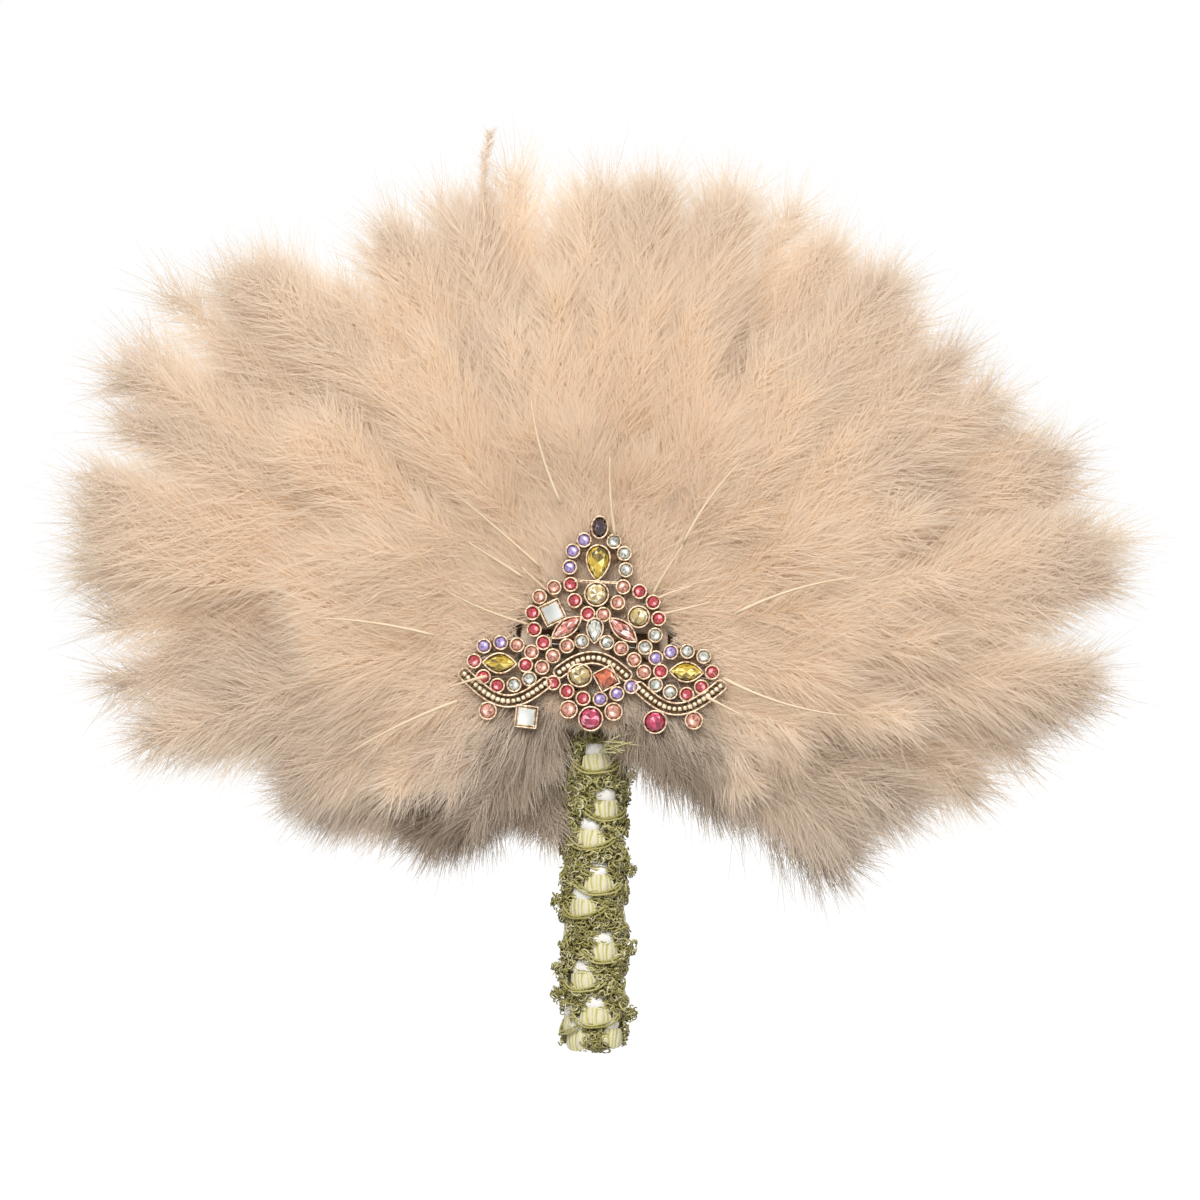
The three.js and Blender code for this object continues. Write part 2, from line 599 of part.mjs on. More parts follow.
function addPin() {
  const bore = (RIVET_RADIUS + RUNNING_GAP) / Math.cos(Math.PI / ROUND_SIDES);
  const base = -SEAT_GAP - BRACKET_BASE;
  const drop = -PIN_DEPTH - BRACKET_DROP;
  const bracketOutline = shapeFrom([
    [-EAR_OUTER, -SEAT_GAP],
    [-EAR_OUTER, drop],
    [-EAR_INNER, drop],
    [-EAR_INNER, base],
    [EAR_INNER, base],
    [EAR_INNER, drop],
    [EAR_OUTER, drop],
    [EAR_OUTER, -SEAT_GAP],
  ]);
  const bracket = solid(alongPin(bracketOutline, HINGE_X - BRACKET_LENGTH / 2, BRACKET_LENGTH));
  const through = solid(hingeBar(bore, 3 * EAR_OUTER));
  addPiece(brooch, "pin_hinge_bracket", geometryOf(bracket.subtract(through)), GILT);

  const shank = EAR_OUTER + SEAT_GAP;
  const headEnd = shank + RIVET_HEAD_THICKNESS;
  const rivet = lathe(
    [
      [0, -headEnd],
      [RIVET_HEAD_RADIUS, -headEnd],
      [RIVET_HEAD_RADIUS, -shank],
      [RIVET_RADIUS, -shank],
      [RIVET_RADIUS, shank],
      [RIVET_HEAD_RADIUS, shank],
      [RIVET_HEAD_RADIUS, headEnd],
      [0, headEnd],
    ],
    ROUND_SIDES,
  );
  rivet.translate(HINGE_X, 0, -PIN_DEPTH);
  addPiece(brooch, "pin_hinge_rivet", rivet, STEEL);

  const rodStart = (bore + EYE_RADIUS) / 2; // inside the eye's wall
  const rodEnd = PIN_SPAN + STEM_OVERHANG;
  const rod = lathe(
    [
      [0, rodStart],
      [STEM_RADIUS, rodStart],
      [STEM_RADIUS, rodEnd - STEM_POINT_LENGTH],
      [STEM_POINT_RADIUS, rodEnd],
      [0, rodEnd],
    ],
    ROUND_SIDES,
  );
  rod.rotateZ(-Math.PI / 2);
  rod.translate(HINGE_X, 0, -PIN_DEPTH);
  const stem = solid(hingeBar(EYE_RADIUS, EYE_LENGTH)).add(solid(rod)).subtract(through);
  addPiece(brooch, "pin_stem", geometryOf(stem), STEEL);

  const barrelStart = CATCH_X - BARREL_LENGTH / 2;
  const barrel = alongPin(openTube(BARREL_INNER, BARREL_OUTER), barrelStart, BARREL_LENGTH);
  addPiece(brooch, "catch_barrel", barrel, GILT);

  const roller = alongPin(openTube(ROLLER_INNER, ROLLER_OUTER), barrelStart, ROLLER_LENGTH);
  const tabLength = TAB_LENGTH + ROLLER_WALL / 2; // its root is inside the roller's wall
  const tab = new THREE.BoxGeometry(TAB_WIDTH, tabLength, TAB_THICKNESS);
  const tabX = barrelStart + ROLLER_LENGTH - TAB_WIDTH / 2;
  tab.translate(tabX, -ROLLER_OUTER + ROLLER_WALL / 2 - tabLength / 2, -PIN_DEPTH);
  addPiece(brooch, "catch_roller", geometryOf(solid(roller).add(solid(tab))), GILT);
}

// A ribbon bridge sewn to the pad, which the pin's stem passes behind.
function addStrap() {
  const foot = -PIN_ROOM + SEAT_GAP;
  const under = -PIN_DEPTH + STEM_RADIUS + SEAT_GAP;
  const crest = STRAP_CREST / 2;
  const heel = WINDOW_HEIGHT / 2 + SEAT_GAP;
  const toe = heel + STRAP_FOOT;
  const half = [
    [crest, under + STRAP_THICKNESS],
    [heel, foot + STRAP_THICKNESS],
    [toe, foot + STRAP_THICKNESS],
    [toe, foot],
    [heel - STRAP_THICKNESS / 2, foot],
    [crest - STRAP_THICKNESS / 2, under],
  ];
  const mirrored = half.map(([y, z]) => [-y, z]).reverse();
  const strap = alongPin(shapeFrom([...half, ...mirrored]), -STRAP_WIDTH / 2, STRAP_WIDTH);
  addPiece(brooch, "pin_strap", strap, SATIN);
}

// How far the stem's point stays off the quills behind the pad when it is swung right back.
function swungClearance() {
  const swing = Math.sin(degToRad(PIN_SWING)) * (PIN_SPAN + STEM_OVERHANG);
  return PIN_ROOM + FRONT_PAD_THICKNESS - PIN_DEPTH - STEM_RADIUS - swing;
}

addHandle();
addHub();
addPlumage();
addSetting();
addPin();
addStrap();
console.log("pin_stem: clear of the quills when open by", swungClearance().toFixed(2), "mm");

export default fan;
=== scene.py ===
# %% [markdown]
# # A marabou feather fan
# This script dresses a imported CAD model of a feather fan. The CAD model fixes every place and size,
# in metres, with the handle along Z and the front of the fan towards -Y. Each piece made here rides
# on one of the model's bodies, so it moves as the CAD piece does.

# %% Load the frame
import math

import bpy
import numpy as np
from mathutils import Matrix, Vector, noise


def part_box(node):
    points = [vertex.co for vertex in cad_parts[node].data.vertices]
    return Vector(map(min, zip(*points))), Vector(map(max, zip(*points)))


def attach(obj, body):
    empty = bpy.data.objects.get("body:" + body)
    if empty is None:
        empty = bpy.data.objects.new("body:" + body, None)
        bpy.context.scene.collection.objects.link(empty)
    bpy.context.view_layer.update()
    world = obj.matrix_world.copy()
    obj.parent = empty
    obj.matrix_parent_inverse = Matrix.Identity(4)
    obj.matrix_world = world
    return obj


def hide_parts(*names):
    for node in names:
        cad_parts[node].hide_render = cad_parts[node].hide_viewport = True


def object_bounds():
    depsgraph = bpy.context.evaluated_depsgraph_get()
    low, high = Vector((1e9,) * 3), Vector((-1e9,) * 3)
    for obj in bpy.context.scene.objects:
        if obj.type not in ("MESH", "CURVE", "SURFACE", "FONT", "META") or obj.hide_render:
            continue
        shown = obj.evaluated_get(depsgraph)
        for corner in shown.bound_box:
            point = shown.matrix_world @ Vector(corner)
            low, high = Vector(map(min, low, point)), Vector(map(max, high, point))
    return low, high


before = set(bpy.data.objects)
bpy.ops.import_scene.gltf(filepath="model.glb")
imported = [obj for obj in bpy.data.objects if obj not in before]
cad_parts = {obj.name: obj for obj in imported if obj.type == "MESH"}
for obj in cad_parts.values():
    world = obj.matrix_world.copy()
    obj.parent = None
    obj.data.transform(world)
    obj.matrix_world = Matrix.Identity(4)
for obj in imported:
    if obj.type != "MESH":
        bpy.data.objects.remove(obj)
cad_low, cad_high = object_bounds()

MM = 0.001
HUB = Vector((0, 0, 80 * MM))
FRONT = Vector((0, -1, 0))
print("CAD box in mm:", [round(x / MM, 1) for x in cad_low], [round(x / MM, 1) for x in cad_high])

# %% [markdown]
# Most pieces start in the same way: places and faces become a mesh, and the mesh an object. What a node
# tree has to know about a point or face is stored on the mesh, as named numbers or vectors.

# %% Objects and meshes
def linked(name, data):
    """A new object in the scene."""
    made = bpy.data.objects.new(name, data)
    bpy.context.collection.objects.link(made)
    return made


def mesh_of(name, places, edges=(), faces=(), values=None, domain="POINT"):
    """A mesh from places in metres, with named numbers or vectors on its points or faces."""
    mesh = bpy.data.meshes.new(name)
    mesh.from_pydata(np.asarray(places, float).tolist(), list(edges), list(faces))
    for label, numbers in (values or {}).items():
        numbers = np.array(numbers, np.float32)
        kind, field = ("FLOAT", "value") if numbers.ndim == 1 else ("FLOAT_VECTOR", "vector")
        mesh.attributes.new(label, kind, domain).data.foreach_set(field, numbers.ravel())
    return mesh


def chain(first, count, closed=False):
    """Edges that join one point to the next."""
    last = count if closed else count - 1
    return [(first + i, first + (i + 1) % count) for i in range(last)]


def grid_faces(rows, columns, closed):
    """Faces of a grid, by its numbers of cells. A closed grid's last column meets its first."""
    points = columns if closed else columns + 1
    faces = []
    for row in range(rows):
        a, b = row * points, (row + 1) * points
        for i in range(columns):
            j = (i + 1) % points
            faces.append((a + i, a + j, b + j, b + i))
    return faces


def piece_of(name, mesh, material):
    """An object of that mesh in one material."""
    mesh.materials.clear()
    mesh.materials.append(material)
    return linked(name, mesh)


def on_fan(piece, slot, *nodes):
    """The piece moves with the fan and stands for those CAD nodes; the slot is not used."""
    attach(piece, "fan")
    if nodes:
        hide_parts(*nodes)


def circle_points(count):
    """Angles round a whole turn, and the places on a circle of radius 1."""
    angles = np.arange(count) * 2 * np.pi / count
    return angles, np.stack([np.cos(angles), np.sin(angles)], 1)


print("meshes can be made from places and faces")

# %% [markdown]
# The photograph looks straight at the fan's front from some way off. A long lens at the same height
# gives that view. The frame is 384 mm wide at the brooch, which sets the camera's distance.

# %% Camera
FRAME_WIDTH = 384 * MM
LENS = 100.0
SENSOR = 36.0
BROOCH_PLANE = -22 * MM
VIEW_ACROSS = 1.9 * MM
VIEW_HEIGHT = 94.7 * MM

camera_data = bpy.data.cameras.new("camera")
camera_data.lens = LENS
camera_data.sensor_width = SENSOR
camera_data.clip_start = 0.01
camera_data.clip_end = 20
camera = linked("camera", camera_data)
camera.location = (VIEW_ACROSS, BROOCH_PLANE - FRAME_WIDTH * LENS / SENSOR, VIEW_HEIGHT)
camera.rotation_euler = (math.radians(90), 0, 0)
bpy.context.scene.camera = camera
bpy.context.scene.view_settings.view_transform = "Standard"
print("camera stands", round(-camera.location.y, 3), "m in front")

# %% [markdown]
# Node trees are easier to read as sums. `Wire` holds one output socket of a node; adding or
# multiplying wires adds the node that does it, and `add` makes any other node. The same class serves
# materials and Geometry Nodes, because both are node trees.

# %% Wire: node trees as Python expressions
class Wire:
    """One output of a node. A wire without a node stands for its tree alone."""

    def __init__(self, tree, node=None, socket=None):
        self.tree = tree
        self.node = node
        self.socket = socket

    def add(self, kind, sockets=None, **settings):
        """A new node: its settings first, then values or wires for its sockets. Gives its first output."""
        node = self.tree.nodes.new(kind)
        for name, value in settings.items():
            setattr(node, name, value)
        for key, value in (sockets or {}).items():
            socket = found(node.inputs, key)
            if isinstance(value, Wire):
                self.tree.links.new(value.socket, socket)
            elif socket.type == "RGBA":
                socket.default_value = (*value, 1)
            else:
                socket.default_value = value
        outputs = [s for s in node.outputs if s.enabled]
        return Wire(self.tree, node, outputs[0] if outputs else None)

    def __getitem__(self, key):
        """Another output of the same node."""
        return Wire(self.tree, self.node, found(self.node.outputs, key))

    def sum(self, operation, first, second):
        """Two numbers, vectors or wires joined by an operation; a vector times a number is scaled."""
        vectors = [is_vector(first), is_vector(second)]
        if operation == "MULTIPLY" and vectors == [True, False]:
            return self.add("ShaderNodeVectorMath", {0: first, 3: second}, operation="SCALE")
        if operation == "MULTIPLY" and vectors == [False, True]:
            return self.add("ShaderNodeVectorMath", {0: second, 3: first}, operation="SCALE")
        kind = "ShaderNodeVectorMath" if any(vectors) else "ShaderNodeMath"
        return self.add(kind, {0: first, 1: second}, operation=operation)

    def __add__(self, other):
        return self.sum("ADD", self, other)

    def __radd__(self, other):
        return self.sum("ADD", other, self)

    def __sub__(self, other):
        return self.sum("SUBTRACT", self, other)

    def __rsub__(self, other):
        return self.sum("SUBTRACT", other, self)

    def __mul__(self, other):
        return self.sum("MULTIPLY", self, other)

    def __truediv__(self, other):
        return self.sum("DIVIDE", self, other)

    def __pow__(self, other):
        return self.sum("POWER", self, other)

    def __gt__(self, other):
        return self.sum("GREATER_THAN", self, other)

    def __mod__(self, other):
        return self.sum("MODULO", self, other)

    def apply(self, operation):
        """A one-input operation, such as SINE or NORMALIZE."""
        kind = "ShaderNodeVectorMath" if is_vector(self) else "ShaderNodeMath"
        return self.add(kind, {0: self}, operation=operation)

    def cross(self, other):
        return self.add("ShaderNodeVectorMath", {0: self, 1: other}, operation="CROSS_PRODUCT")

    def clamped(self, most):
        return self.add("ShaderNodeClamp", {"Value": self, "Min": 0.0, "Max": most})

    def mix(self, first, second):
        """Between two numbers or vectors, by this wire as the share of the second."""
        return first + (second - first) * self

    def mix_colours(self, first, second):
        return self.add("ShaderNodeMix", {"Factor": self, "A": first, "B": second}, data_type="RGBA")

    def split(self):
        return self.add("ShaderNodeSeparateXYZ", {0: self})

    def ramp(self, stops):
        """A colour for this wire's number, by stops of a place and a colour."""
        made = self.add("ShaderNodeValToRGB", {0: self})
        elements = made.node.color_ramp.elements
        while len(elements) < len(stops):
            elements.new(1)
        for element, (place, colour) in zip(elements, stops):
            element.position = place
            element.color = (*colour, 1)
        return made


def found(sockets, key):
    if isinstance(key, int):
        return sockets[key]
    return next(s for s in sockets if s.name == key and s.enabled)


def is_vector(value):
    if isinstance(value, Wire):
        return value.socket.type in ("VECTOR", "RGBA")
    return not isinstance(value, (int, float))


print("node trees can be written as sums")

# %% [markdown]
# A material is such a tree too. `Paint` starts an empty one and has the few things that the materials
# below share: noise on Object coordinates, bumps, the UV map that the node trees store, and the surface.

# %% Paint: the start of a material
class Paint(Wire):
    """The node tree of a new material."""

    def __init__(self, name):
        self.material = bpy.data.materials.new(name)
        self.material.use_nodes = True
        self.material.node_tree.nodes.clear()
        super().__init__(self.material.node_tree)

    def place(self):
        """Object coordinates, which stay on a piece when it moves."""
        return self.add("ShaderNodeTexCoord")["Object"]

    def noise(self, scale, detail, distortion=0.0, stretch=None):
        place = self.place() * stretch if stretch else self.place()
        sockets = {"Vector": place, "Scale": scale, "Detail": detail, "Distortion": distortion}
        return self.add("ShaderNodeTexNoise", sockets)

    def threads(self, scale, **more):
        """Waves across the height, for woven cloth."""
        sockets = {"Vector": self.place(), "Scale": scale, **more}
        return self.add("ShaderNodeTexWave", sockets, bands_direction="Z")

    def bump(self, height, strength, distance):
        sockets = {"Height": height, "Strength": strength, "Distance": distance * MM}
        return self.add("ShaderNodeBump", sockets)

    def facet(self):
        """The number that each face of a stone carries: its painted brightness."""
        return self.add("ShaderNodeAttribute", attribute_name="facet")["Fac"]

    def baked(self):
        """Both axes of the UV map: the run along a strand or cord, and its tint."""
        places = self.add("ShaderNodeUVMap", uv_map="OFBake").split()
        return places["X"], places["Y"]

    def shaded(self, shader):
        """The material, with that shader as its surface."""
        self.add("ShaderNodeOutputMaterial", {"Surface": shader})
        return self.material

    def coated(self, sockets):
        """The material, as a Principled surface."""
        return self.shaded(self.add("ShaderNodeBsdfPrincipled", sockets))


print("materials can be started with Paint")

# %% [markdown]
# Soft studio light: a pale world, a large key lamp above the front and a weak one low on the other
# side, so that the plumes under the hub stay in shade, and a weak one behind. The world is white to
# the camera and to reflections, and dimmer as a light. The floor is white where nothing shades it.

# %% Light and floor
WHITE = (1, 1, 1)
WORLD_COLOUR = (1, 0.985, 0.97)
WORLD_STRENGTH = 0.6
FLOOR_COLOUR = (0.3, 0.29, 0.28)
FLOOR_GLOW = 1.3
GLOW_SHARE = 0.76  # of the floor, where it is seen directly
FLOOR_HALF = 6.0
# Name, place, size and power; each lamp looks at the hub
LAMPS = [
    ("key", (-0.3, -1.5, 1.0), 1.2, 28),
    ("fill", (0.9, -1.0, 0.45), 0.8, 3),
    ("back", (0.5, 1.5, 0.9), 1.2, 6),
]


def seen_directly(start):
    """1 for rays from the camera and for those that reflections and glass send on."""
    rays = start.add("ShaderNodeLightPath")
    return (rays["Is Camera Ray"] + rays["Is Glossy Ray"] + rays["Is Transmission Ray"]) > 0.5


def backdrop_world():
    world = bpy.data.worlds.new("studio")
    world.use_nodes = True
    world.node_tree.nodes.clear()
    start = Wire(world.node_tree)
    lit = start.add("ShaderNodeBackground", {"Color": WORLD_COLOUR, "Strength": WORLD_STRENGTH})
    shown = start.add("ShaderNodeBackground", {"Color": WHITE, "Strength": 1.0})
    either = start.add("ShaderNodeMixShader", {0: seen_directly(start), 1: lit, 2: shown})
    start.add("ShaderNodeOutputWorld", {"Surface": either})
    return world


def floor_material():
    paint = Paint("floor")
    matt = paint.add("ShaderNodeBsdfDiffuse", {"Color": FLOOR_COLOUR})
    white = paint.add("ShaderNodeEmission", {"Color": WHITE, "Strength": FLOOR_GLOW})
    share = seen_directly(paint) * GLOW_SHARE
    return paint.shaded(paint.add("ShaderNodeMixShader", {0: share, 1: matt, 2: white}))


bpy.context.scene.world = backdrop_world()
corners = [(-1, -1), (1, -1), (1, 1), (-1, 1)]
floor_places = [(x * FLOOR_HALF, y * FLOOR_HALF, cad_low.z) for x, y in corners]
floor = piece_of("floor", mesh_of("floor", floor_places, faces=[(0, 1, 2, 3)]), floor_material())
for name, place, size, power in LAMPS:
    lamp_data = bpy.data.lights.new(name, "AREA")
    lamp_data.shape = "DISK"
    lamp_data.size = size
    lamp_data.energy = power
    lamp = linked(name, lamp_data)
    lamp.location = place
    lamp.rotation_euler = (HUB - Vector(place)).to_track_quat("-Z", "Y").to_euler()
print("floor at", round(cad_low.z / MM, 1), "mm and", len(LAMPS), "lamps")

# %% [markdown]
# Marabou is the soft underdown of a turkey: a thin quill with long loose barbs, each barb so fluffy
# that it reads as a blurred strand. Solid leaves would look like petals, and a hair system would be
# lost in the export. So Geometry Nodes grow the barbs: points along every quill become barbs, each
# barb a small bundle of thin tapering strips that bend towards the tip and droop. The strips carry a
# UV map whose first axis runs from root to tip and whose second is a tint: random, and darkened by
# painted shade where plumes hang low.

# %% Plume material
# Painted shade deep among the barbs, towards their roots
PLUME_ROOT_SHADE = (0.88, 0.69, 0.49)
PLUME_TINTS = [  # ochre, pale, the grey of the rim, then the painted shade of the underside
    (0.0, (0.86, 0.64, 0.40)),
    (0.18, (0.92, 0.76, 0.57)),
    (0.36, (0.94, 0.80, 0.64)),
    (0.6, (0.955, 0.86, 0.74)),
    (0.75, (0.72, 0.61, 0.51)),
    (0.9, (0.35, 0.275, 0.205)),
]
PLUME_TIP = (0.84, 0.75, 0.65)
QUILL_COLOUR = (0.78, 0.62, 0.43)
MOST_TINT = 0.92  # of a barb
QUILL_FROM = 0.93  # a tint above this is a quill's
QUILL_TINT = 0.95
LIGHT_THROUGH = 0.5  # share of light that passes through a pale barb
THROUGH_COLOUR = (0.91, 0.79, 0.65)


def plume_material():
    paint = Paint("marabou")
    along, tint = paint.baked()
    paleness = QUILL_TINT - tint  # down darkened by painted shade keeps that colour from root to tip
    # painted shade towards the roots, then the paler tip
    colour = (((1 - along) ** 4) * paleness * 0.7).mix_colours(tint.ramp(PLUME_TINTS), PLUME_ROOT_SHADE)
    colour = ((along ** 2) * paleness * 0.6).mix_colours(colour, PLUME_TIP)
    colour = (tint > QUILL_FROM).mix_colours(colour, QUILL_COLOUR)
    surface = paint.add("ShaderNodeBsdfPrincipled", {
        "Base Color": colour, "Roughness": 0.75, "Specular IOR Level": 0.15,
    })
    through = paint.add("ShaderNodeBsdfTranslucent", {"Color": THROUGH_COLOUR})
    share = (paleness * 3.0).clamped(1.0) * LIGHT_THROUGH
    return paint.shaded(paint.add("ShaderNodeMixShader", {0: share, 1: surface, 2: through}))


marabou = plume_material()
print("plume material made")

# %% [markdown]
# All trees of Geometry Nodes here have named inputs, and all end alike: what they made is joined, made
# real and given its material. `Growth` holds that, and short names for the nodes that come up often.

# %% Growth: the start of a Geometry Nodes tree
class Growth(Wire):
    """A new tree of Geometry Nodes. Its inputs are a geometry, the named ones and a material."""

    def __init__(self, name, inputs):
        tree = bpy.data.node_groups.new(name, "GeometryNodeTree")
        tree.is_modifier = True
        super().__init__(tree)
        face = tree.interface
        face.new_socket("Geometry", in_out="OUTPUT", socket_type="NodeSocketGeometry")
        for label, kind in {"Geometry": "Geometry", **inputs, "Material": "Material"}.items():
            face.new_socket(label, in_out="INPUT", socket_type="NodeSocket" + kind)
        self.given = self.add("NodeGroupInput")

    def geo(self, kind, sockets=None, **settings):
        return self.add("GeometryNode" + kind, sockets, **settings)

    def named(self, name, kind="FLOAT"):
        return self.geo("InputNamedAttribute", {"Name": name}, data_type=kind)

    def vector(self, name):
        return self.named(name, "FLOAT_VECTOR")

    def store(self, geometry, name, value, kind="FLOAT", domain="POINT"):
        sockets = {"Geometry": geometry, "Name": name, "Value": value}
        return self.geo("StoreNamedAttribute", sockets, data_type=kind, domain=domain)

    def bake(self, geometry, run, tint):
        """Stores the UV map that the materials read."""
        return self.store(geometry, "OFBake", self.combined(run, tint), "FLOAT2", "CORNER")

    def random(self, low, high, seed, number=None):
        kind = "FLOAT" if isinstance(low, (int, float)) else "FLOAT_VECTOR"
        sockets = {"Min": low, "Max": high, "Seed": self.given["Seed"] + seed}
        if number is not None:
            sockets["ID"] = number
        return self.add("FunctionNodeRandomValue", sockets, data_type=kind)

    def combined(self, x, y, z=0.0):
        return self.add("ShaderNodeCombineXYZ", {0: x, 1: y, 2: z})

    def curves(self, mesh):
        return self.geo("MeshToCurve", {0: mesh})

    def ring(self, sides, radius=1.0):
        return self.geo("CurvePrimitiveCircle", {"Resolution": sides, "Radius": radius})

    def tubes(self, lines, sides, radius):
        """Round tubes with closed ends along curves."""
        return self.geo("CurveToMesh", {
            "Curve": lines, "Profile Curve": self.ring(sides), "Scale": radius, "Fill Caps": True,
        })

    def smooth(self, geometry):
        return self.geo("SetShadeSmooth", {0: geometry})

    def realized(self, geometry):
        return self.geo("RealizeInstances", {0: geometry})

    def copies(self, points, shape, turn, size):
        """A shape at every point, turned and sized."""
        return self.geo("InstanceOnPoints", {
            "Points": points, "Instance": shape, "Rotation": turn, "Scale": self.combined(size, size, size),
        })

    def finish(self, *geometries):
        """Joins, realizes and gives the tree's material to everything."""
        joined = self.geo("JoinGeometry")
        for geometry in geometries:
            self.tree.links.new(geometry.socket, joined.node.inputs[0])
        sockets = {"Geometry": self.realized(joined), "Material": self.given["Material"]}
        self.add("NodeGroupOutput", {0: self.geo("SetMaterial", sockets)})
        return self.tree


KEPT_ATTRIBUTES = ("OFBake", "facet", "material_index", "sharp_face")


def evaluated_mesh(host, name):
    """The mesh that a host's modifiers make; the host goes."""
    graph = bpy.context.evaluated_depsgraph_get()
    made = bpy.data.meshes.new_from_object(host.evaluated_get(graph), depsgraph=graph)
    made.name = name
    bpy.data.objects.remove(host)
    return made


def grown(name, mesh, tree, sizes):
    """The mesh that a node tree makes from a host mesh, as a plain object with no modifier."""
    host = linked(name + "_host", mesh)
    modifier = host.modifiers.new("nodes", "NODES")
    modifier.node_group = tree
    for socket in tree.interface.items_tree:
        if socket.in_out == "INPUT" and socket.name in sizes:
            modifier[socket.identifier] = sizes[socket.name]
    made = evaluated_mesh(host, name)
    bpy.data.meshes.remove(mesh)
    for attribute in list(made.attributes):
        working = not (attribute.is_required or attribute.is_internal)
        if working and attribute.name not in KEPT_ATTRIBUTES:
            made.attributes.remove(attribute)
    piece = piece_of(name, made, sizes["Material"])
    made.polygons.foreach_set("material_index", np.zeros(len(made.polygons), np.int32))
    return piece


print("node trees can be grown into pieces")

# %% [markdown]
# The plume tree works in three steps. It spreads points along the quills, one for each strand of each
# barb, and stores at every point where its strand starts and how it bends. Then it puts one flat strip
# at every point and bends it. The quills themselves become thin tubes.

# %% Node tree that grows barbs along quills
STRIP_STEPS = 2  # a strand is a strip of this many quads
ROOT_LEAN = math.radians(48)  # barb from quill, where the barbs start
LEAN_SPREAD = (-0.55, 0.4)  # radians more or less, from barb to barb
TIP_LEANS = (math.radians(4), math.radians(80))  # least and most at the quill's tip
FLATTEN = 0.45  # how much of a barb's lean towards the front or back is kept
STRAIGHTEN = 0.5  # share of the lean that is left at a barb's end
TIP_SHORTER = 0.42  # how much shorter barbs are at the quill's tip
BARB_SIZES = (0.85, 1.08)
STRAND_SIZES = (0.66, 1.06)
TAPER = 0.8  # how much of a strand's width goes towards its end
THINNEST_QUILL = 0.05 * MM
QUILL_SIDES = 5


def strand_points(grow, quills):
    """One point for each strand, along the part of every quill that has barbs."""
    spaced = grow.geo("ResampleCurve", {"Curve": quills, "Count": grow.given["Barbs"]}, mode="COUNT")
    points = grow.geo("CurveToPoints", {"Curve": spaced}, mode="EVALUATED")
    bare = (grow.named("along") * -1) > 0
    points = grow.geo("DeleteGeometry", {"Geometry": points, "Selection": bare}, domain="POINT")
    points = grow.store(points, "barb", grow.geo("InputIndex"), "INT")
    sockets = {"Geometry": points, "Amount": grow.given["Strands"]}
    return grow.geo("DuplicateElements", sockets, domain="POINT")


def aimed(grow, points):
    """Stores which way each strand leaves its quill, how far it goes and how it ends."""
    given, named, random = grow.given, grow.named, grow.random
    along, barb = named("along"), named("barb", "INT")
    forward = grow.vector("forward").apply("NORMALIZE")
    sideways = forward.cross((0.0, -1.0, 0.0)).apply("NORMALIZE")
    side = (barb % 2) * 2 - 1
    roll = given["Roll"] * random(-1.0, 1.0, 2, barb) + random(-0.4, 0.4, 10)
    outward = sideways * (side * roll.apply("COSINE")) + roll.apply("SINE") * (0.0, -FLATTEN, 0.0)

    def heading(angle):
        return forward * angle.apply("COSINE") + outward * angle.apply("SINE")

    lean = (along ** 3).mix(ROOT_LEAN + random(*LEAN_SPREAD, 1, barb), random(*TIP_LEANS, 12, barb))
    lean = lean + random(-0.14, 0.14, 9)
    lead = heading(lean)
    stray = random((-0.3, -0.15, -0.3), (0.3, 0.15, 0.3), 11)
    trail = heading(lean * STRAIGHTEN) + stray + given["Droop"] * (0.0, 0.0, -1.0)
    length = named("barb_length") * (1 - (along ** 3) * TIP_SHORTER)
    length = length * random(*BARB_SIZES, 3, barb) * random(*STRAND_SIZES, 4)
    facing = lead.cross(random((-0.7, -1.5, -0.7), (0.7, -0.5, 0.7), 6)).apply("NORMALIZE")
    vectors = {
        "root": grow.geo("InputPosition"),
        "lead": lead * length,
        "trail": trail * length,
        "loose": random((-1.0, -1.0, -1.0), (1.0, 1.0, 1.0), 5) * given["Clump"],
        "wide": facing * given["Strand width"],
    }
    for name, value in vectors.items():
        points = grow.store(points, name, value, "FLOAT_VECTOR")
    tint = named("plume_tint") + random(-0.05, 0.05, 7, barb) + random(-0.03, 0.03, 8)
    return grow.store(points, "tint", tint.clamped(MOST_TINT))


def bent_strips(grow, points):
    """One flat strip at every point, bent along its strand."""
    strip = grow.geo("MeshGrid", {
        "Size X": 1.0, "Size Y": 1.0, "Vertices X": 2, "Vertices Y": STRIP_STEPS + 1,
    })
    flat = grow.geo("InputPosition").split()
    strip = grow.store(strip, "across", flat["X"])
    strip = grow.store(strip, "reach", flat["Y"] + 0.5)
    placed = grow.realized(grow.geo("InstanceOnPoints", {"Points": points, "Instance": strip}))
    reach = grow.named("reach")
    bent = reach * reach * 0.5
    centre = (
        grow.vector("root")
        + grow.vector("lead") * (reach - bent)
        + grow.vector("trail") * bent
        + grow.vector("loose") * (reach * 0.4 + 0.6)
    )
    place = centre + grow.vector("wide") * (grow.named("across") * (1 - reach * TAPER))
    barbs = grow.geo("SetPosition", {"Geometry": placed, "Position": place})
    return grow.bake(barbs, reach, grow.named("tint"))


def plume_tree():
    grow = Growth("plumes", {
        "Barbs": "Int", "Strands": "Int", "Strand width": "Float", "Roll": "Float",
        "Clump": "Float", "Droop": "Float", "Seed": "Int",
    })
    quills = grow.curves(grow.given["Geometry"])
    barbs = bent_strips(grow, aimed(grow, strand_points(grow, quills)))
    radius = grow.named("quill_radius")
    thin = (radius * -1) > -THINNEST_QUILL
    thick = grow.geo("DeleteGeometry", {"Geometry": quills, "Selection": thin}, domain="POINT")
    tubes = grow.tubes(thick, QUILL_SIDES, radius)
    tubes = grow.bake(tubes, grow.named("along").apply("ABSOLUTE"), QUILL_TINT)
    return grow.finish(barbs, tubes)


plumes = plume_tree()
print("plume tree has", len(plumes.nodes), "nodes")

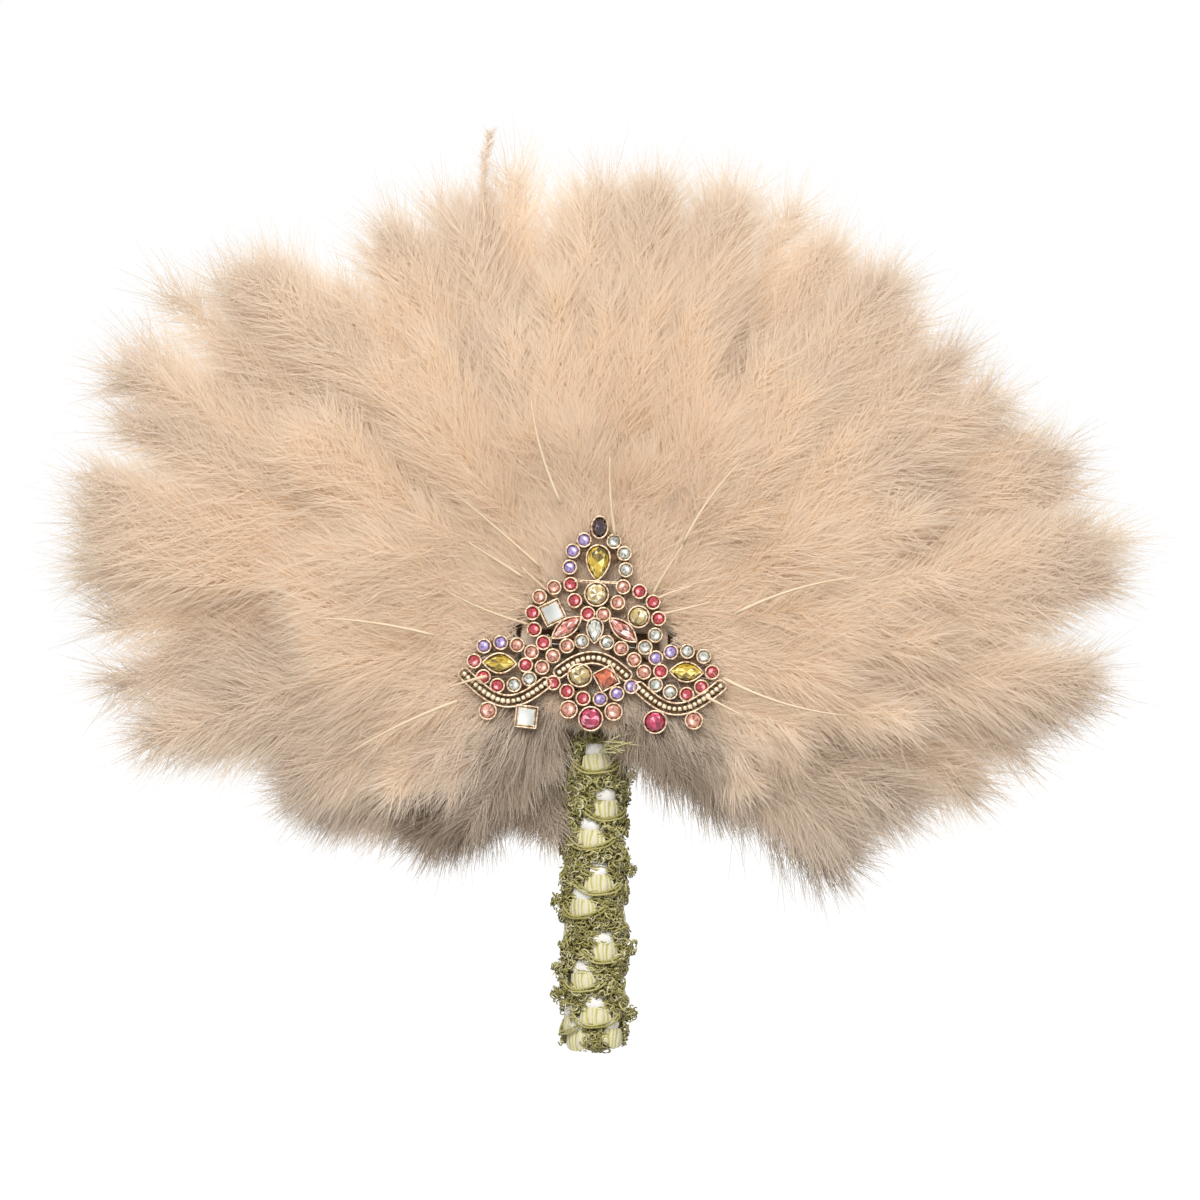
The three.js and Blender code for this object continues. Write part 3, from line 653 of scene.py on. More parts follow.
# %% [markdown]
# The plumage has three tiers of tufts. Each CAD tuft is a leaf-shaped envelope, and the plumes that
# replace it start at the same quill bundle and fill the same leaf. The envelope's stations are read
# from the CAD node itself, so the plumes follow it if the model changes.

# %% Read the envelope of each tuft
rng = np.random.default_rng(20)


def tuft_direction(index, count, spacing):
    angle = math.radians((index - (count - 1) / 2) * spacing)
    return Vector((math.sin(angle), 0, math.cos(angle)))


def envelope(node, direction):
    """Rows of distance from the hub, middle depth, half width and half thickness of a CAD tuft."""
    corners = np.array([v.co for v in node.data.vertices]) - np.array(HUB)
    out = corners @ np.array(direction)
    aside = corners @ np.array(direction.cross(FRONT))
    depth = corners @ np.array(FRONT)
    rows = []
    stations = np.unique(np.round(out / MM, 2)) * MM
    for station in stations:
        ring = np.abs(out - station) < 0.02 * MM
        middle = (depth[ring].max() + depth[ring].min()) / 2
        half = (depth[ring].max() - depth[ring].min()) / 2
        rows.append((station, middle, np.abs(aside[ring]).max(), half))
    return np.array(rows)


# Tufts that stand out of the outline: degrees from the top, and how far in mm
RAGGED = [(-54, 12), (-39, 3), (-13, 8), (22, 5), (68, 8), (80, 8), (133, 6)]
RAGGED_WIDTH = 2.6  # degrees
# Degrees from the top, and the plumes' reach there as a share of the CAD tufts'
TRIM = (
    [-156, -140, -120, -108, -96, -50, -36, -26, 108, 119, 130, 140, 156],
    [0.82, 0.92, 0.98, 0.85, 1.03, 1.04, 0.97, 1.0, 1.02, 0.86, 1.0, 0.72, 0.62],
)


def reach_at(index, reaches, spacing):
    """How far plumes go from the hub, between tufts too; the index may be a fraction."""
    angle = (index - (len(reaches) - 1) / 2) * spacing
    bump = sum(more * math.exp(-((angle - at) / RAGGED_WIDTH) ** 2) for at, more in RAGGED)
    return np.interp(index, range(len(reaches)), reaches) * np.interp(angle, *TRIM) + bump * MM


print("outline: ragged in", len(RAGGED), "places")

# %% [markdown]
# The quills of a tuft fan out from its root. Every second one ends at the rim and the others end
# inside; the shorter a plume is, the nearer it lies to the tuft's face. Each quill is laid twice, once
# from its root and once over its outer half alone, so that more barbs grow towards its tip.

# %% Lay out the quills of a tuft
QUILL_POINTS = 12
QUILL_RUN = np.linspace(0, 1, QUILL_POINTS)
EDGE_QUILLS = 0.86  # share of a tuft's half width where its outermost quills lie
SHORTEST_VANE = 14 * MM
BARE_MOST = 0.4  # of the reach, without barbs at the root
BARB_MOST = 0.26  # longest barb, as a share of the reach
BARB_AT_HUB = 0.45  # share of a barb's length near the hub
HANG_FROM = 0.15  # tufts that point lower than this hang, and get painted shade that makes them greyer
# Painted shade added to the tint: of hanging tufts, more beside the handle, and of tips the lower they
# point
HANG_SHADE = 0.16
FOOT_FROM = 0.7  # how low the tufts beside the handle start
FOOT_SHADE = 1.7
TIP_SHADE = 0.05
CURL = 12  # mm at the tip, to either side
OUTER_HALF = 0.5  # share of a vane, from its tip, where more barbs grow
QUILL_RADIUS = {"root": 0.45 * MM, "tip": 0.14 * MM}
BARE_THICKER = 1.4  # quills without barbs, against the others
# Ochre plumes: partly the plumes' own tone, partly painted shade between tufts
OCHRE_SHARE = 0.14
OCHRE_TINTS = (0.14, 0.22)
PALE_TINTS = (0.28, 0.6)


def plume_tint():
    """Most plumes are pale, and a few are ochre."""
    return rng.uniform(*OCHRE_TINTS) if rng.uniform() < OCHRE_SHARE else rng.uniform(*PALE_TINTS)


def tuft_quills(rows, direction, index, reaches, tier):
    """The quills that fill one CAD tuft: each is its line, its share of the vane, barb length and tint."""
    root = rows[0, 0]
    widest = rows[np.argmax(rows[:, 2])]
    slope = widest[2] / (widest[0] - root) * tier["spread"]
    across = np.array(direction.cross(FRONT))
    low = max(0.0, HANG_FROM - direction.z)
    shortest, (rim, longest) = tier["shortest"], tier["rim"]
    quills = []
    for plume in range(tier["plumes"]):
        share = -EDGE_QUILLS + 2 * EDGE_QUILLS * (plume + 0.5) / tier["plumes"] + rng.uniform(-0.08, 0.08)
        turn = math.degrees(math.atan(share * slope))
        reach = reach_at(index + turn / tier["spacing"], reaches, tier["spacing"])
        at_rim = plume % 2 == 0
        size = rng.uniform(rim, longest) if at_rim else rng.uniform(shortest, rim)
        layer = np.interp(size, [shortest, 1], tier["layers"]) + rng.uniform(-0.15, 0.15)
        layer = -layer if plume % 4 == 3 and tier["two_faced"] else layer
        bare = min(tier["barb_start"], reach * BARE_MOST)
        end = max(bare + SHORTEST_VANE, reach * size - tier["tip_room"])
        curl = rng.uniform(-CURL, CURL) * MM
        # painted shade: tufts that hang low start darker, most of all beside the handle, and tips darken
        # the lower they point
        begin_tint = plume_tint() + HANG_SHADE * low + FOOT_SHADE * max(0.0, low - FOOT_FROM)
        end_tint = rng.uniform(*tier["tip_tints"]) + TIP_SHADE * (1 - direction.z)
        tint = begin_tint + (end_tint - begin_tint) * QUILL_RUN ** 3
        for begin in (root, end - (end - bare) * OUTER_HALF):
            out = np.linspace(begin, end, QUILL_POINTS)
            gone = (out - root) / (end - root)
            aside = share * slope * (out - root) + curl * gone ** 2
            middle, half = (np.interp(out, rows[:, 0], rows[:, column]) for column in (1, 3))
            line = np.array(HUB) + np.outer(out, direction) + np.outer(aside, across)
            line = line + np.outer(middle + layer * half, FRONT)
            along = (out - bare) / (end - bare)
            barbs = min(tier["barb"], reach * BARB_MOST) * np.minimum(1.0, BARB_AT_HUB + out / reach)
            quills.append((line, along, barbs, np.interp(gone, QUILL_RUN, tint)))
    return quills


def quill_mesh(name, quills):
    """Edges along quills, with what the plume tree reads at their points."""
    radius = QUILL_RADIUS["root"] + (QUILL_RADIUS["tip"] - QUILL_RADIUS["root"]) * QUILL_RUN
    whole = [1.0 if q[1][0] < 0.1 else 0.0 for q in quills]  # outer halves have barbs alone
    whole = [BARE_THICKER if q[1][-1] < 0 else w for q, w in zip(quills, whole)]
    edges = [edge for number in range(len(quills)) for edge in chain(number * QUILL_POINTS, QUILL_POINTS)]
    return mesh_of(name, np.concatenate([q[0] for q in quills]), edges, values={
        "along": np.concatenate([q[1] for q in quills]),
        "barb_length": np.concatenate([q[2] for q in quills]),
        "plume_tint": np.concatenate([np.broadcast_to(q[3], QUILL_POINTS) for q in quills]),
        "quill_radius": np.outer(whole, radius).ravel(),
        "forward": np.concatenate([np.gradient(q[0], axis=0) for q in quills]),
    })


print("quills: laid twice, with", QUILL_POINTS, "points each")

# %% [markdown]
# The long outer tier gives the outline and shows on both faces of the fan, so a quarter of its plumes
# lie towards the back. The front and the back tier are shorter and cover the hub's edge on their side.

# %% Grow the three tiers
# Spacing is in degrees, sizes are shares of the reach, and layers go from short plumes to long ones
TIERS = {
    "outer": {
        "spacing": 19.6, "plumes": 12, "spread": 1.0, "two_faced": True, "shortest": 0.7,
        "rim": (0.94, 1.0), "layers": (0.9, 0.0), "tip_tints": (0.7, 0.76), "tip_room": 11 * MM,
        "barb": 30 * MM, "barb_start": 56 * MM, "barbs": 120, "seed": 1000,
    },
    "front": {
        "spacing": 34, "plumes": 13, "spread": 1.2, "two_faced": False, "shortest": 0.5,
        "rim": (0.85, 1.05), "layers": (1.1, -0.5), "tip_tints": (0.36, 0.58), "tip_room": 10 * MM,
        "barb": 28 * MM, "barb_start": 24 * MM, "barbs": 84, "seed": 2000,
    },
    "back": {
        "spacing": 46, "plumes": 12, "spread": 1.4, "two_faced": False, "shortest": 0.5,
        "rim": (0.85, 1.05), "layers": (-0.95, 0.5), "tip_tints": (0.36, 0.58), "tip_room": 10 * MM,
        "barb": 26 * MM, "barb_start": 24 * MM, "barbs": 76, "seed": 3000,
    },
}
STRANDS = 5  # in each barb of the tiers
STRAND_WIDTH = 0.27 * MM
CLUMP = 5.5 * MM
ROLL = 1.0
DROOP = 0.05


def plumage(name, quills, barbs, strands, seed, clump, *nodes):
    """One piece of plumage on the fan, grown on its quills."""
    piece = grown(name, quill_mesh(name + "_quills", quills), plumes, {
        "Barbs": barbs, "Strands": strands, "Strand width": STRAND_WIDTH, "Roll": ROLL,
        "Clump": clump, "Droop": DROOP, "Seed": seed, "Material": marabou,
    })
    on_fan(piece, "feather", *nodes)
    return piece


triangles = 0
for tier_name, tier in TIERS.items():
    names = sorted(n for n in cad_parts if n.startswith(tier_name + "_tuft_"))
    ways = [tuft_direction(index, len(names), tier["spacing"]) for index in range(len(names))]
    shapes = [envelope(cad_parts[name], way) for name, way in zip(names, ways)]
    reaches = [rows[-1, 0] for rows in shapes]
    for index, name in enumerate(names):
        quills = tuft_quills(shapes[index], ways[index], index, reaches, tier)
        seed = tier["seed"] + 10 * index
        piece = plumage(name + "_plumes", quills, tier["barbs"], STRANDS, seed, CLUMP, name)
        triangles += sum(len(p.vertices) - 2 for p in piece.data.polygons)
print("plumage:", triangles, "triangles")

# %% [markdown]
# Short down is glued round the pad under the brooch, so that no board or felt shows beside it. Its
# quills start on the pad's face and run out over the front tufts, behind the brooch's back. A collar
# of the same down closes the hub's foot on both sides of the handle and hides the pad's lower edge.
# The collar's and the foot's dark tints, and the darkening of down that hangs low, are painted shade.
# Distances here are in millimetres from the hub.

# %% Down round the hub
DOWN_COUNT = 44
DOWN_GAP = math.radians(34)  # left free on each side of the handle
DOWN_BEGIN = (17, 21)
DOWN_END = (44, 70)
DOWN_PATH = ([18, 44, 70], [16.2, 17.2, 23])  # distance out, and depth there
DOWN_BARB = 25
DOWN_TINTS = (0.4, 0.58)
UNDER_FROM = 0.35  # down that hangs lower than this gets painted shade
UNDER_SHADE = 0.95
PIN_COSINE = 0.34  # at angles near the pin and its catch, the down starts further out
PIN_BEGIN = (25, 27)
COLLAR_COUNT = 16  # each side of the handle
COLLAR_REACH = {-1: 52, 1: 30}  # the left side hangs lower
COLLAR_ANGLES = (146, 166)
COLLAR_BARB = 13
# Dark tints: painted shade beside the handle
COLLAR_SHADE_TINTS = (0.76, 0.9)
FOOT_COUNT = 24
FOOT_BARB = 4
# Dark tints: painted shade between the base stone and the lace
FOOT_SHADE_TINTS = (0.7, 0.85)
INNER_COUNT = 60
INNER_BARB = 8
# From pale to grey-brown: partly the down's own tone, partly painted shade behind the brooch
INNER_TINTS = (0.3, 0.75)
PIN_HALF = 8  # half the height that is left free for the pin


def down_quill(angle, out, depth, barb, tint):
    """A short quill that leaves the hub at an angle from the top."""
    direction = np.array([math.sin(angle), 0, math.cos(angle)])
    line = np.array(HUB) + (np.outer(out, direction) + np.outer(depth, FRONT)) * MM
    return line, QUILL_RUN, np.full(QUILL_POINTS, barb * MM), tint


def down_quills():
    quills = []
    for number in range(DOWN_COUNT):
        share = (number + rng.uniform(-0.4, 0.4)) / (DOWN_COUNT - 1)
        angle = (2 * share - 1) * (math.pi - DOWN_GAP)
        begin = rng.uniform(*DOWN_BEGIN)
        if abs(math.cos(angle)) < PIN_COSINE:
            begin = rng.uniform(*PIN_BEGIN)
        out = np.linspace(begin, rng.uniform(*DOWN_END), QUILL_POINTS)
        depth = np.interp(out, *DOWN_PATH) + rng.uniform(-0.4, 0.4)
        # painted shade on down that hangs low
        shade = UNDER_SHADE * max(0.0, -math.cos(angle) - UNDER_FROM)
        quills.append(down_quill(angle, out, depth, DOWN_BARB, rng.uniform(*DOWN_TINTS) + shade))
    return quills


def collar_quills():
    quills = []
    for side, reach in COLLAR_REACH.items():
        for number in range(COLLAR_COUNT):
            angle = side * math.radians(rng.uniform(*COLLAR_ANGLES))
            out = np.linspace(rng.uniform(19, 24), rng.uniform(0.75, 1) * reach, QUILL_POINTS)
            depth = np.linspace(rng.uniform(-9, 13), rng.uniform(-9, 9), QUILL_POINTS)
            quills.append(down_quill(angle, out, depth, COLLAR_BARB, rng.uniform(*COLLAR_SHADE_TINTS)))
    for number in range(FOOT_COUNT):
        angle = rng.uniform(0.78, 1.22) * math.pi
        out = np.linspace(rng.uniform(13, 19), rng.uniform(23, 25), QUILL_POINTS)
        depth = np.linspace(16.2, 15.4, QUILL_POINTS) + rng.uniform(0, 1)
        quills.append(down_quill(angle, out, depth, FOOT_BARB, rng.uniform(*FOOT_SHADE_TINTS)))
    return quills


def inner_quills():
    """Down on the pad itself, behind the openings of the brooch and clear of its pin."""
    quills = []
    while len(quills) < INNER_COUNT:
        angle = rng.uniform(0, 2 * math.pi)
        begin = rng.uniform(5, 17)
        if min(abs(begin * math.cos(angle)), abs((begin + 10) * math.cos(angle))) < PIN_HALF:
            continue
        out = np.linspace(begin, begin + rng.uniform(8, 14), QUILL_POINTS)
        depth = np.full(QUILL_POINTS, rng.uniform(16.2, 17.6))
        quills.append(down_quill(angle, out, depth, INNER_BARB, rng.uniform(*INNER_TINTS)))
    return quills


downs = [
    plumage("hub_down", down_quills(), barbs=100, strands=7, seed=4000, clump=1.8 * MM),
    plumage("collar_down", collar_quills(), barbs=50, strands=4, seed=4100, clump=3 * MM),
    plumage("inner_down", inner_quills(), barbs=40, strands=4, seed=4200, clump=2 * MM),
]
print("hub down:", sum(len(down.data.polygons) for down in downs), "faces")

# %% [markdown]
# A few quills have lost their barbs and stand pale against the down round the brooch. Each runs
# outwards just over the plumage. One thin wisp stands out at the top.

# %% Bare quills and the wisp
# Ends across and up from the hub, in mm
BARE_QUILLS = [
    ((-21, 31), (-41, 46)), ((-28, 27), (-40, 33)), ((-15, 20), (-23, 25)), ((-22, 8), (-46, 17)),
    ((24, 21), (30, 34)), ((21, 17), (31, 19)), ((23, 12.5), (37, 14)), ((42, -19), (47, -22)),
    ((-41, -11.5), (-46, -13)), ((8, 42), (5, 60)), ((33, 38), (46, 58)), ((-12, 52), (-20, 78)),
    ((52, 12), (84, 22)), ((-58, 4), (-90, 9)), ((48, -12), (80, -22)), ((-50, -20), (-78, -34)),
]
BARE_PATH = ([15, 30, 48, 66, 95], [17, 23.5, 28.5, 31, 32])  # distance out, and depth there
TUCKED = 7  # mm that each quill goes further in, under the brooch or into the down


def bare_lines():
    quills = []
    for inner, outer in BARE_QUILLS:
        inner, outer = np.array(inner), np.array(outer)
        inner = inner * (1 - TUCKED / np.hypot(*inner))
        flat = np.outer(1 - QUILL_RUN, inner) + np.outer(QUILL_RUN, outer)
        bow = np.array([outer[1] - inner[1], inner[0] - outer[0]]) * rng.uniform(-0.05, 0.05)
        flat = flat + np.outer(4 * QUILL_RUN * (1 - QUILL_RUN), bow)
        depth = np.interp(np.hypot(*flat.T), *BARE_PATH) + rng.uniform(-0.5, 0.8)
        line = np.array(HUB) + np.stack([flat[:, 0], -depth, flat[:, 1]], 1) * MM
        quills.append((line, np.full(QUILL_POINTS, -1.0), np.zeros(QUILL_POINTS), 1.0))
    return quills


plumage("bare_quills", bare_lines(), barbs=2, strands=1, seed=4300, clump=CLUMP)
wisp_across = -37 + 5 * (QUILL_RUN - 0.5) ** 2 + 2 * QUILL_RUN
wisp_line = np.stack([wisp_across, -2 - QUILL_RUN, 138 + 29 * QUILL_RUN], 1) * MM + np.array(HUB)
wisp = (wisp_line, QUILL_RUN - 0.2, np.full(QUILL_POINTS, 4.5 * MM), 0.74)
plumage("wisp", [wisp], barbs=90, strands=4, seed=4400, clump=0.8 * MM)
print("bare quills:", len(BARE_QUILLS), "and a wisp")

# %% [markdown]
# The brooch is costume jewellery: coloured glass stones, each in its own little cup with a thin cream
# gold rim, soldered to dark struts with gaps between them, and a beaded rail that waves through them.
# The struts' near-black is partly patina and partly painted shade.
# Its pieces are drawn flat, as distances across and up from the hub's centre and out from the
# setting's back, and are then tilted and stood on the hub as the CAD setting is.

# %% The brooch's own frame and its stones
BROOCH_TILT = math.radians(2.7)
SETTING_BACK = 20.2


def on_brooch(points):
    """Flat places in millimetres, across, up and out, as places in the model's frame in metres."""
    across, up, out = np.asarray(points, float).reshape(-1, 3).T
    x = across * math.cos(BROOCH_TILT) + up * math.sin(BROOCH_TILT)
    z = up * math.cos(BROOCH_TILT) - across * math.sin(BROOCH_TILT)
    return np.stack([x, -(SETTING_BACK + out), z], 1) * MM + np.array(HUB)


# Name, cut, across, up, width, height, tilt in degrees, glass
STONES = [
    ("finial_stone", "oval", 0, 38, 4.2, 6, 0, "onyx"),
    ("crown_pear_stone", "pear", 0, 26.7, 8, 10.2, 0, "citrine"),
    ("crown_round_stone", "oval", 0, 16.6, 6.6, 6.6, 0, "champagne"),
    ("left_mirror_stone", "square", -13.8, 10, 5.8, 5.8, 28, "mirror"),
    ("right_round_stone", "oval", 13.8, 10, 5.8, 5.8, 0, "champagne"),
    ("left_rose_navette", "navette", -9, 5.5, 10.6, 4.2, 38, "rose"),
    ("right_rose_navette", "navette", 9, 5.5, 10.6, 4.2, -38, "rose"),
    ("centre_pear_stone", "pear", 0, 4.9, 5.2, 7.0, 0, "crystal"),
    ("left_wing_navette", "navette", -29.9, -6.9, 9.8, 5.4, 0, "citrine"),
    ("right_wing_navette", "navette", 29.9, -6.9, 9.8, 5.4, 0, "citrine"),
    ("centre_oval_stone", "oval", -4.1, -9.6, 6.6, 6.2, 0, "champagne"),
    ("centre_square_stone", "square", 4.4, -10.2, 5.4, 5.4, 30, "amber"),
    ("base_round_stone", "oval", 0, -23.3, 6.6, 6.6, 0, "magenta"),
    ("left_drop_mirror", "square", -20.6, -23.6, 5.8, 5.8, -4, "mirror"),
    ("right_drop_stone", "oval", 20.6, -23.4, 6.2, 6.2, 0, "magenta"),
]
# Across and up of a pair of small cups, then the left and the right stone's glass
CUP_PAIRS = [
    (4.8, 33.7, "lavender", "crystal"), (8.25, 30, "lavender", "crystal"),
    (9, 24.8, "lavender", "crystal"), (8.4, 19.3, "ruby", "peach"), (13.7, 18.1, "peach", "ruby"),
    (18.2, 14.9, "peach", "ruby"), (6.9, 14.2, "ruby", "peach"), (20.2, 9.7, "ruby", "ruby"),
    (19.4, 4.4, "ruby", "crystal"), (2.5, 10.2, "ruby", "peach"), (4, 1.3, "crystal", "crystal"),
    (8.7, -0.4, "peach", "peach"), (16.3, 0.3, "ruby", "crystal"), (13, -3.8, "peach", "peach"),
    (16.3, -7.6, "peach", "peach"), (35.2, -1.7, "lavender", "crystal"),
    (29.9, -0.3, "lavender", "crystal"), (24.6, -0.8, "peach", "lavender"),
    (19.9, -2.9, "peach", "lavender"), (38.1, -6.6, "ruby", "ruby"), (21.6, -7.1, "ruby", "ruby"),
    (34.9, -11.5, "ruby", "ruby"), (30.3, -14.1, "ruby", "ruby"), (25, -13.6, "crystal", "crystal"),
    (20.2, -11.5, "crystal", "crystal"), (12.5, -12.4, "ruby", "lavender"),
    (8, -14.9, "ruby", "lavender"), (2.75, -16.9, "ruby", "lavender"),
    (7.2, -20.7, "peach", "peach"), (33, -22.3, "peach", "peach"),
]
CUPS = [(-u, v, left) for u, v, left, right in CUP_PAIRS]
CUPS += [(u, v, right) for u, v, left, right in CUP_PAIRS]
CUP_RADIUS = 2.5
LARGE_CUPS = {(7.2, -20.7), (33, -22.3)}  # the two pairs at the foot
LARGE_CUP_RADIUS = 3.05


def cup_radius(across, up):
    return LARGE_CUP_RADIUS if (abs(across), up) in LARGE_CUPS else CUP_RADIUS


def stone_outline(cut, width, height, count):
    """A stone's outline round its own centre, in millimetres."""
    x, y = circle_points(count)[1].T
    if cut == "square":
        reach = 1 / np.maximum(np.abs(x), np.abs(y))
        x, y = x * reach, y * reach
    if cut == "navette":
        y = y * np.abs(y)
    if cut == "pear":
        x = x * ((1 + y) / 2) ** 0.3
    return np.stack([x * width / 2, y * height / 2], 1)


def turned(points, tilt, across, up):
    turn = math.radians(tilt)
    x, y = points.T
    return np.stack([
        across + x * math.cos(turn) - y * math.sin(turn),
        up + x * math.sin(turn) + y * math.cos(turn),
    ], 1)


def stone_outlines(wider, count):
    """The outlines of all large stones in their places, made wider all round."""
    outlines = []
    for name, cut, across, up, width, height, tilt, glass in STONES:
        outline = stone_outline(cut, width + wider, height + wider, count)
        outlines.append(turned(outline, tilt, across, up))
    return outlines


print(len(STONES), "large stones and", len(CUPS), "small ones")

# %% [markdown]
# Each finish of the brooch has one material. The gilt is a pale gold with brown left in its dips, by
# noise on Object coordinates. Glass stones are foil-backed, so they send light back in flashes; here
# the flashes and the dark facets are painted reflections: every facet carries its own random number,
# and that decides how bright its painted colour is.

# %% Brooch materials
def gilt_material(name, bright, brown, roughness):
    paint = Paint(name)
    worn = paint.noise(900.0, 4.0)
    return paint.coated({
        "Base Color": worn.ramp([(0.36, brown), (0.55, bright)]),
        "Metallic": 0.8,
        "Roughness": worn * 0.2 + roughness,
        "Normal": paint.bump(paint.noise(3500.0, 2.0), 0.25, 0.1),
    })


def glass_material(name, colour, flash, dark):
    """Foil-backed glass: each facet's number paints it dark, coloured or a flash, as painted reflection."""
    paint = Paint(name)
    painted_dark = [c * dark for c in colour]
    lit = [min(1.0, c * 1.35) for c in colour]
    seen = paint.facet().ramp([(0.0, painted_dark), (0.35, colour), (0.7, lit), (0.93, flash)])
    return paint.coated({
        "Base Color": seen, "Roughness": 0.06, "IOR": 1.6, "Coat Weight": 0.5, "Coat Roughness": 0.03,
    })


def mirror_material():
    paint = Paint("mirror_glass")
    # Painted reflection: each facet's number and a soft noise set how bright the mirror looks
    shade = paint.facet() + (paint.noise(170.0, 0.0) - 0.5) * 1.3
    seen = shade.ramp([(0.0, (0.45, 0.46, 0.43)), (0.6, (0.95, 0.96, 0.93))])
    return paint.coated({"Base Color": seen, "Metallic": 0.9, "Roughness": 0.08})


# Colour, colour of the painted flashes, and how dark the darkest painted facets are
GLASS_LOOKS = {
    "ruby": ((0.50, 0.04, 0.06), (0.95, 0.52, 0.54), 0.3),
    "magenta": ((0.42, 0.02, 0.075), (0.92, 0.40, 0.50), 0.3),
    "peach": ((0.62, 0.28, 0.20), (0.98, 0.82, 0.72), 0.3),
    "rose": ((0.55, 0.17, 0.12), (0.98, 0.88, 0.82), 0.3),
    "lavender": ((0.36, 0.26, 0.56), (0.90, 0.86, 0.98), 0.3),
    "crystal": ((0.50, 0.51, 0.45), (0.97, 0.98, 0.95), 0.3),
    "champagne": ((0.46, 0.34, 0.14), (0.98, 0.93, 0.70), 0.22),
    "citrine": ((0.46, 0.30, 0.01), (0.95, 0.86, 0.28), 0.16),
    "amber": ((0.52, 0.11, 0.04), (0.98, 0.74, 0.55), 0.3),
    "onyx": ((0.018, 0.007, 0.012), (0.22, 0.13, 0.17), 0.4),
}
gilt = gilt_material("gilt", (0.78, 0.59, 0.42), (0.32, 0.20, 0.11), 0.3)
# The beads' gilt is the same gilt painted brighter: painted light on beads that sit in the rail's shaded
# channel
bead_gilt = gilt_material("bead_gilt", (0.93, 0.82, 0.60), (0.62, 0.46, 0.27), 0.3)
# Near-black of the backs and struts: partly patina, partly painted shade between the cups
patina = gilt_material("patina", (0.16, 0.09, 0.045), (0.035, 0.02, 0.012), 0.45)
GLASS = {name: glass_material(name + "_glass", *look) for name, look in GLASS_LOOKS.items()}
GLASS["mirror"] = mirror_material()
print(len(GLASS), "kinds of glass")

# %% [markdown]
# Every rim of the brooch is a thin wall that follows an outline: a circle round each small stone, a
# larger outline round each big one, and one round each length of the rail. One node tree sweeps a
# rounded wall along all of them, so the wall's thickness and height are set in one place.

# %% Rims
RIM_WALL = 0.62
RIM_HEIGHT = 2.4
RIM_LEVEL = 1.9  # its middle, above the setting's back
RIM_SIDES = 20
STONE_RIM_SIDES = 32
STONE_PLAY = 0.4  # between a stone and the inside of its rim, both sides together
CROWN_BAR = [(-7, 20.3), (6.4, 20.3), (6.4, 20.8), (-7, 20.8)]  # the straight bar under the crown
RAIL_MIDDLE = -11.3
RAIL_SWING = 7.6
RAIL_WAVE = 54.0
RAIL_HALF = 1.85  # to the middle of its walls
RAIL_POINTS = 30
RAIL_LENGTHS = [(-41.2, -14.8), (-10.9, 10.9), (14.8, 41.2)]  # from and to; a cup sits in each break


def rail_line(start, stop, offset, count):
    """Places along the rail, moved sideways off its middle line."""
    across = np.linspace(start, stop, count)
    pulse = 2 * math.pi / RAIL_WAVE
    up = RAIL_MIDDLE + RAIL_SWING * np.cos(pulse * across)
    slope = -RAIL_SWING * pulse * np.sin(pulse * across)
    size = np.hypot(1, slope)
    return np.stack([across - slope / size * offset, up + offset / size], 1)


def rail_outline(start, stop):
    """A length of rail with rounded ends."""
    lower = rail_line(start, stop, -RAIL_HALF, RAIL_POINTS)
    upper = rail_line(start, stop, RAIL_HALF, RAIL_POINTS)[::-1]
    ends = []
    for one, other in ((lower, upper), (upper, lower)):
        middle, arm = (one[-1] + other[0]) / 2, (one[-1] - other[0]) / 2
        outward = np.array([-arm[1], arm[0]])
        turns = np.linspace(0, np.pi, 7)[1:-1]
        ends.append(middle + np.outer(np.cos(turns), arm) + np.outer(np.sin(turns), outward) * 0.8)
    return np.concatenate([lower, ends[0], upper, ends[1]])


def lines_mesh(name, lines, out, closed):
    """Lines at one height above the setting's back."""
    edges, first = [], 0
    for line in lines:
        edges.extend(chain(first, len(line), closed))
        first += len(line)
    return mesh_of(name, on_brooch([(x, y, out) for line in lines for x, y in line]), edges)


def rim_tree():
    grow = Growth("rims", {"Wall": "Float", "Height": "Float"})
    thickness, height = grow.given["Wall"], grow.given["Height"]
    sockets = {"Curve": grow.curves(grow.given["Geometry"]), "Normal": (0.0, -1.0, 0.0)}
    lines = grow.geo("SetCurveNormal", sockets, mode="FREE")
    wall = grow.geo("CurvePrimitiveQuadrilateral", {"Width": height, "Height": thickness})
    sockets = {"Curve": wall, "Radius": thickness * 0.4, "Count": 2}
    rounded = grow.geo("FilletCurve", sockets, mode="POLY")
    swept = grow.geo("CurveToMesh", {"Curve": lines, "Profile Curve": rounded})
    return grow.finish(grow.smooth(swept))


round_rim = circle_points(RIM_SIDES)[1]
outlines = [round_rim * (cup_radius(u, v) - RIM_WALL / 2) + (u, v) for u, v, glass in CUPS]
outlines.extend(stone_outlines(STONE_PLAY + RIM_WALL, STONE_RIM_SIDES))
outlines.extend(rail_outline(*ends) for ends in RAIL_LENGTHS)
outlines.append(CROWN_BAR)
rim_lines = lines_mesh("brooch_rims_lines", outlines, RIM_LEVEL, True)
rims = grown("brooch_rims", rim_lines, rim_tree(), {
    "Wall": RIM_WALL * MM, "Height": RIM_HEIGHT * MM, "Material": gilt,
})
on_fan(rims, "gilt", "brooch_setting")
print("rims:", len(outlines), "outlines,", len(rims.data.polygons), "faces")

# %% [markdown]
# The rail's channel holds a row of square beads. They are cast with the rail, so all are alike:
# Geometry Nodes put one bead at equal steps along each length and turn it with the line.

# %% Beads of the rail
BEAD_STEP = 1.62
BEAD_SIZE = 1.5
BEAD_SIZES = (0.88, 1.1)  # least and most, against that size
BEAD_LEVEL = 2.4
BEAD_INSET = 0.2  # of the row's ends


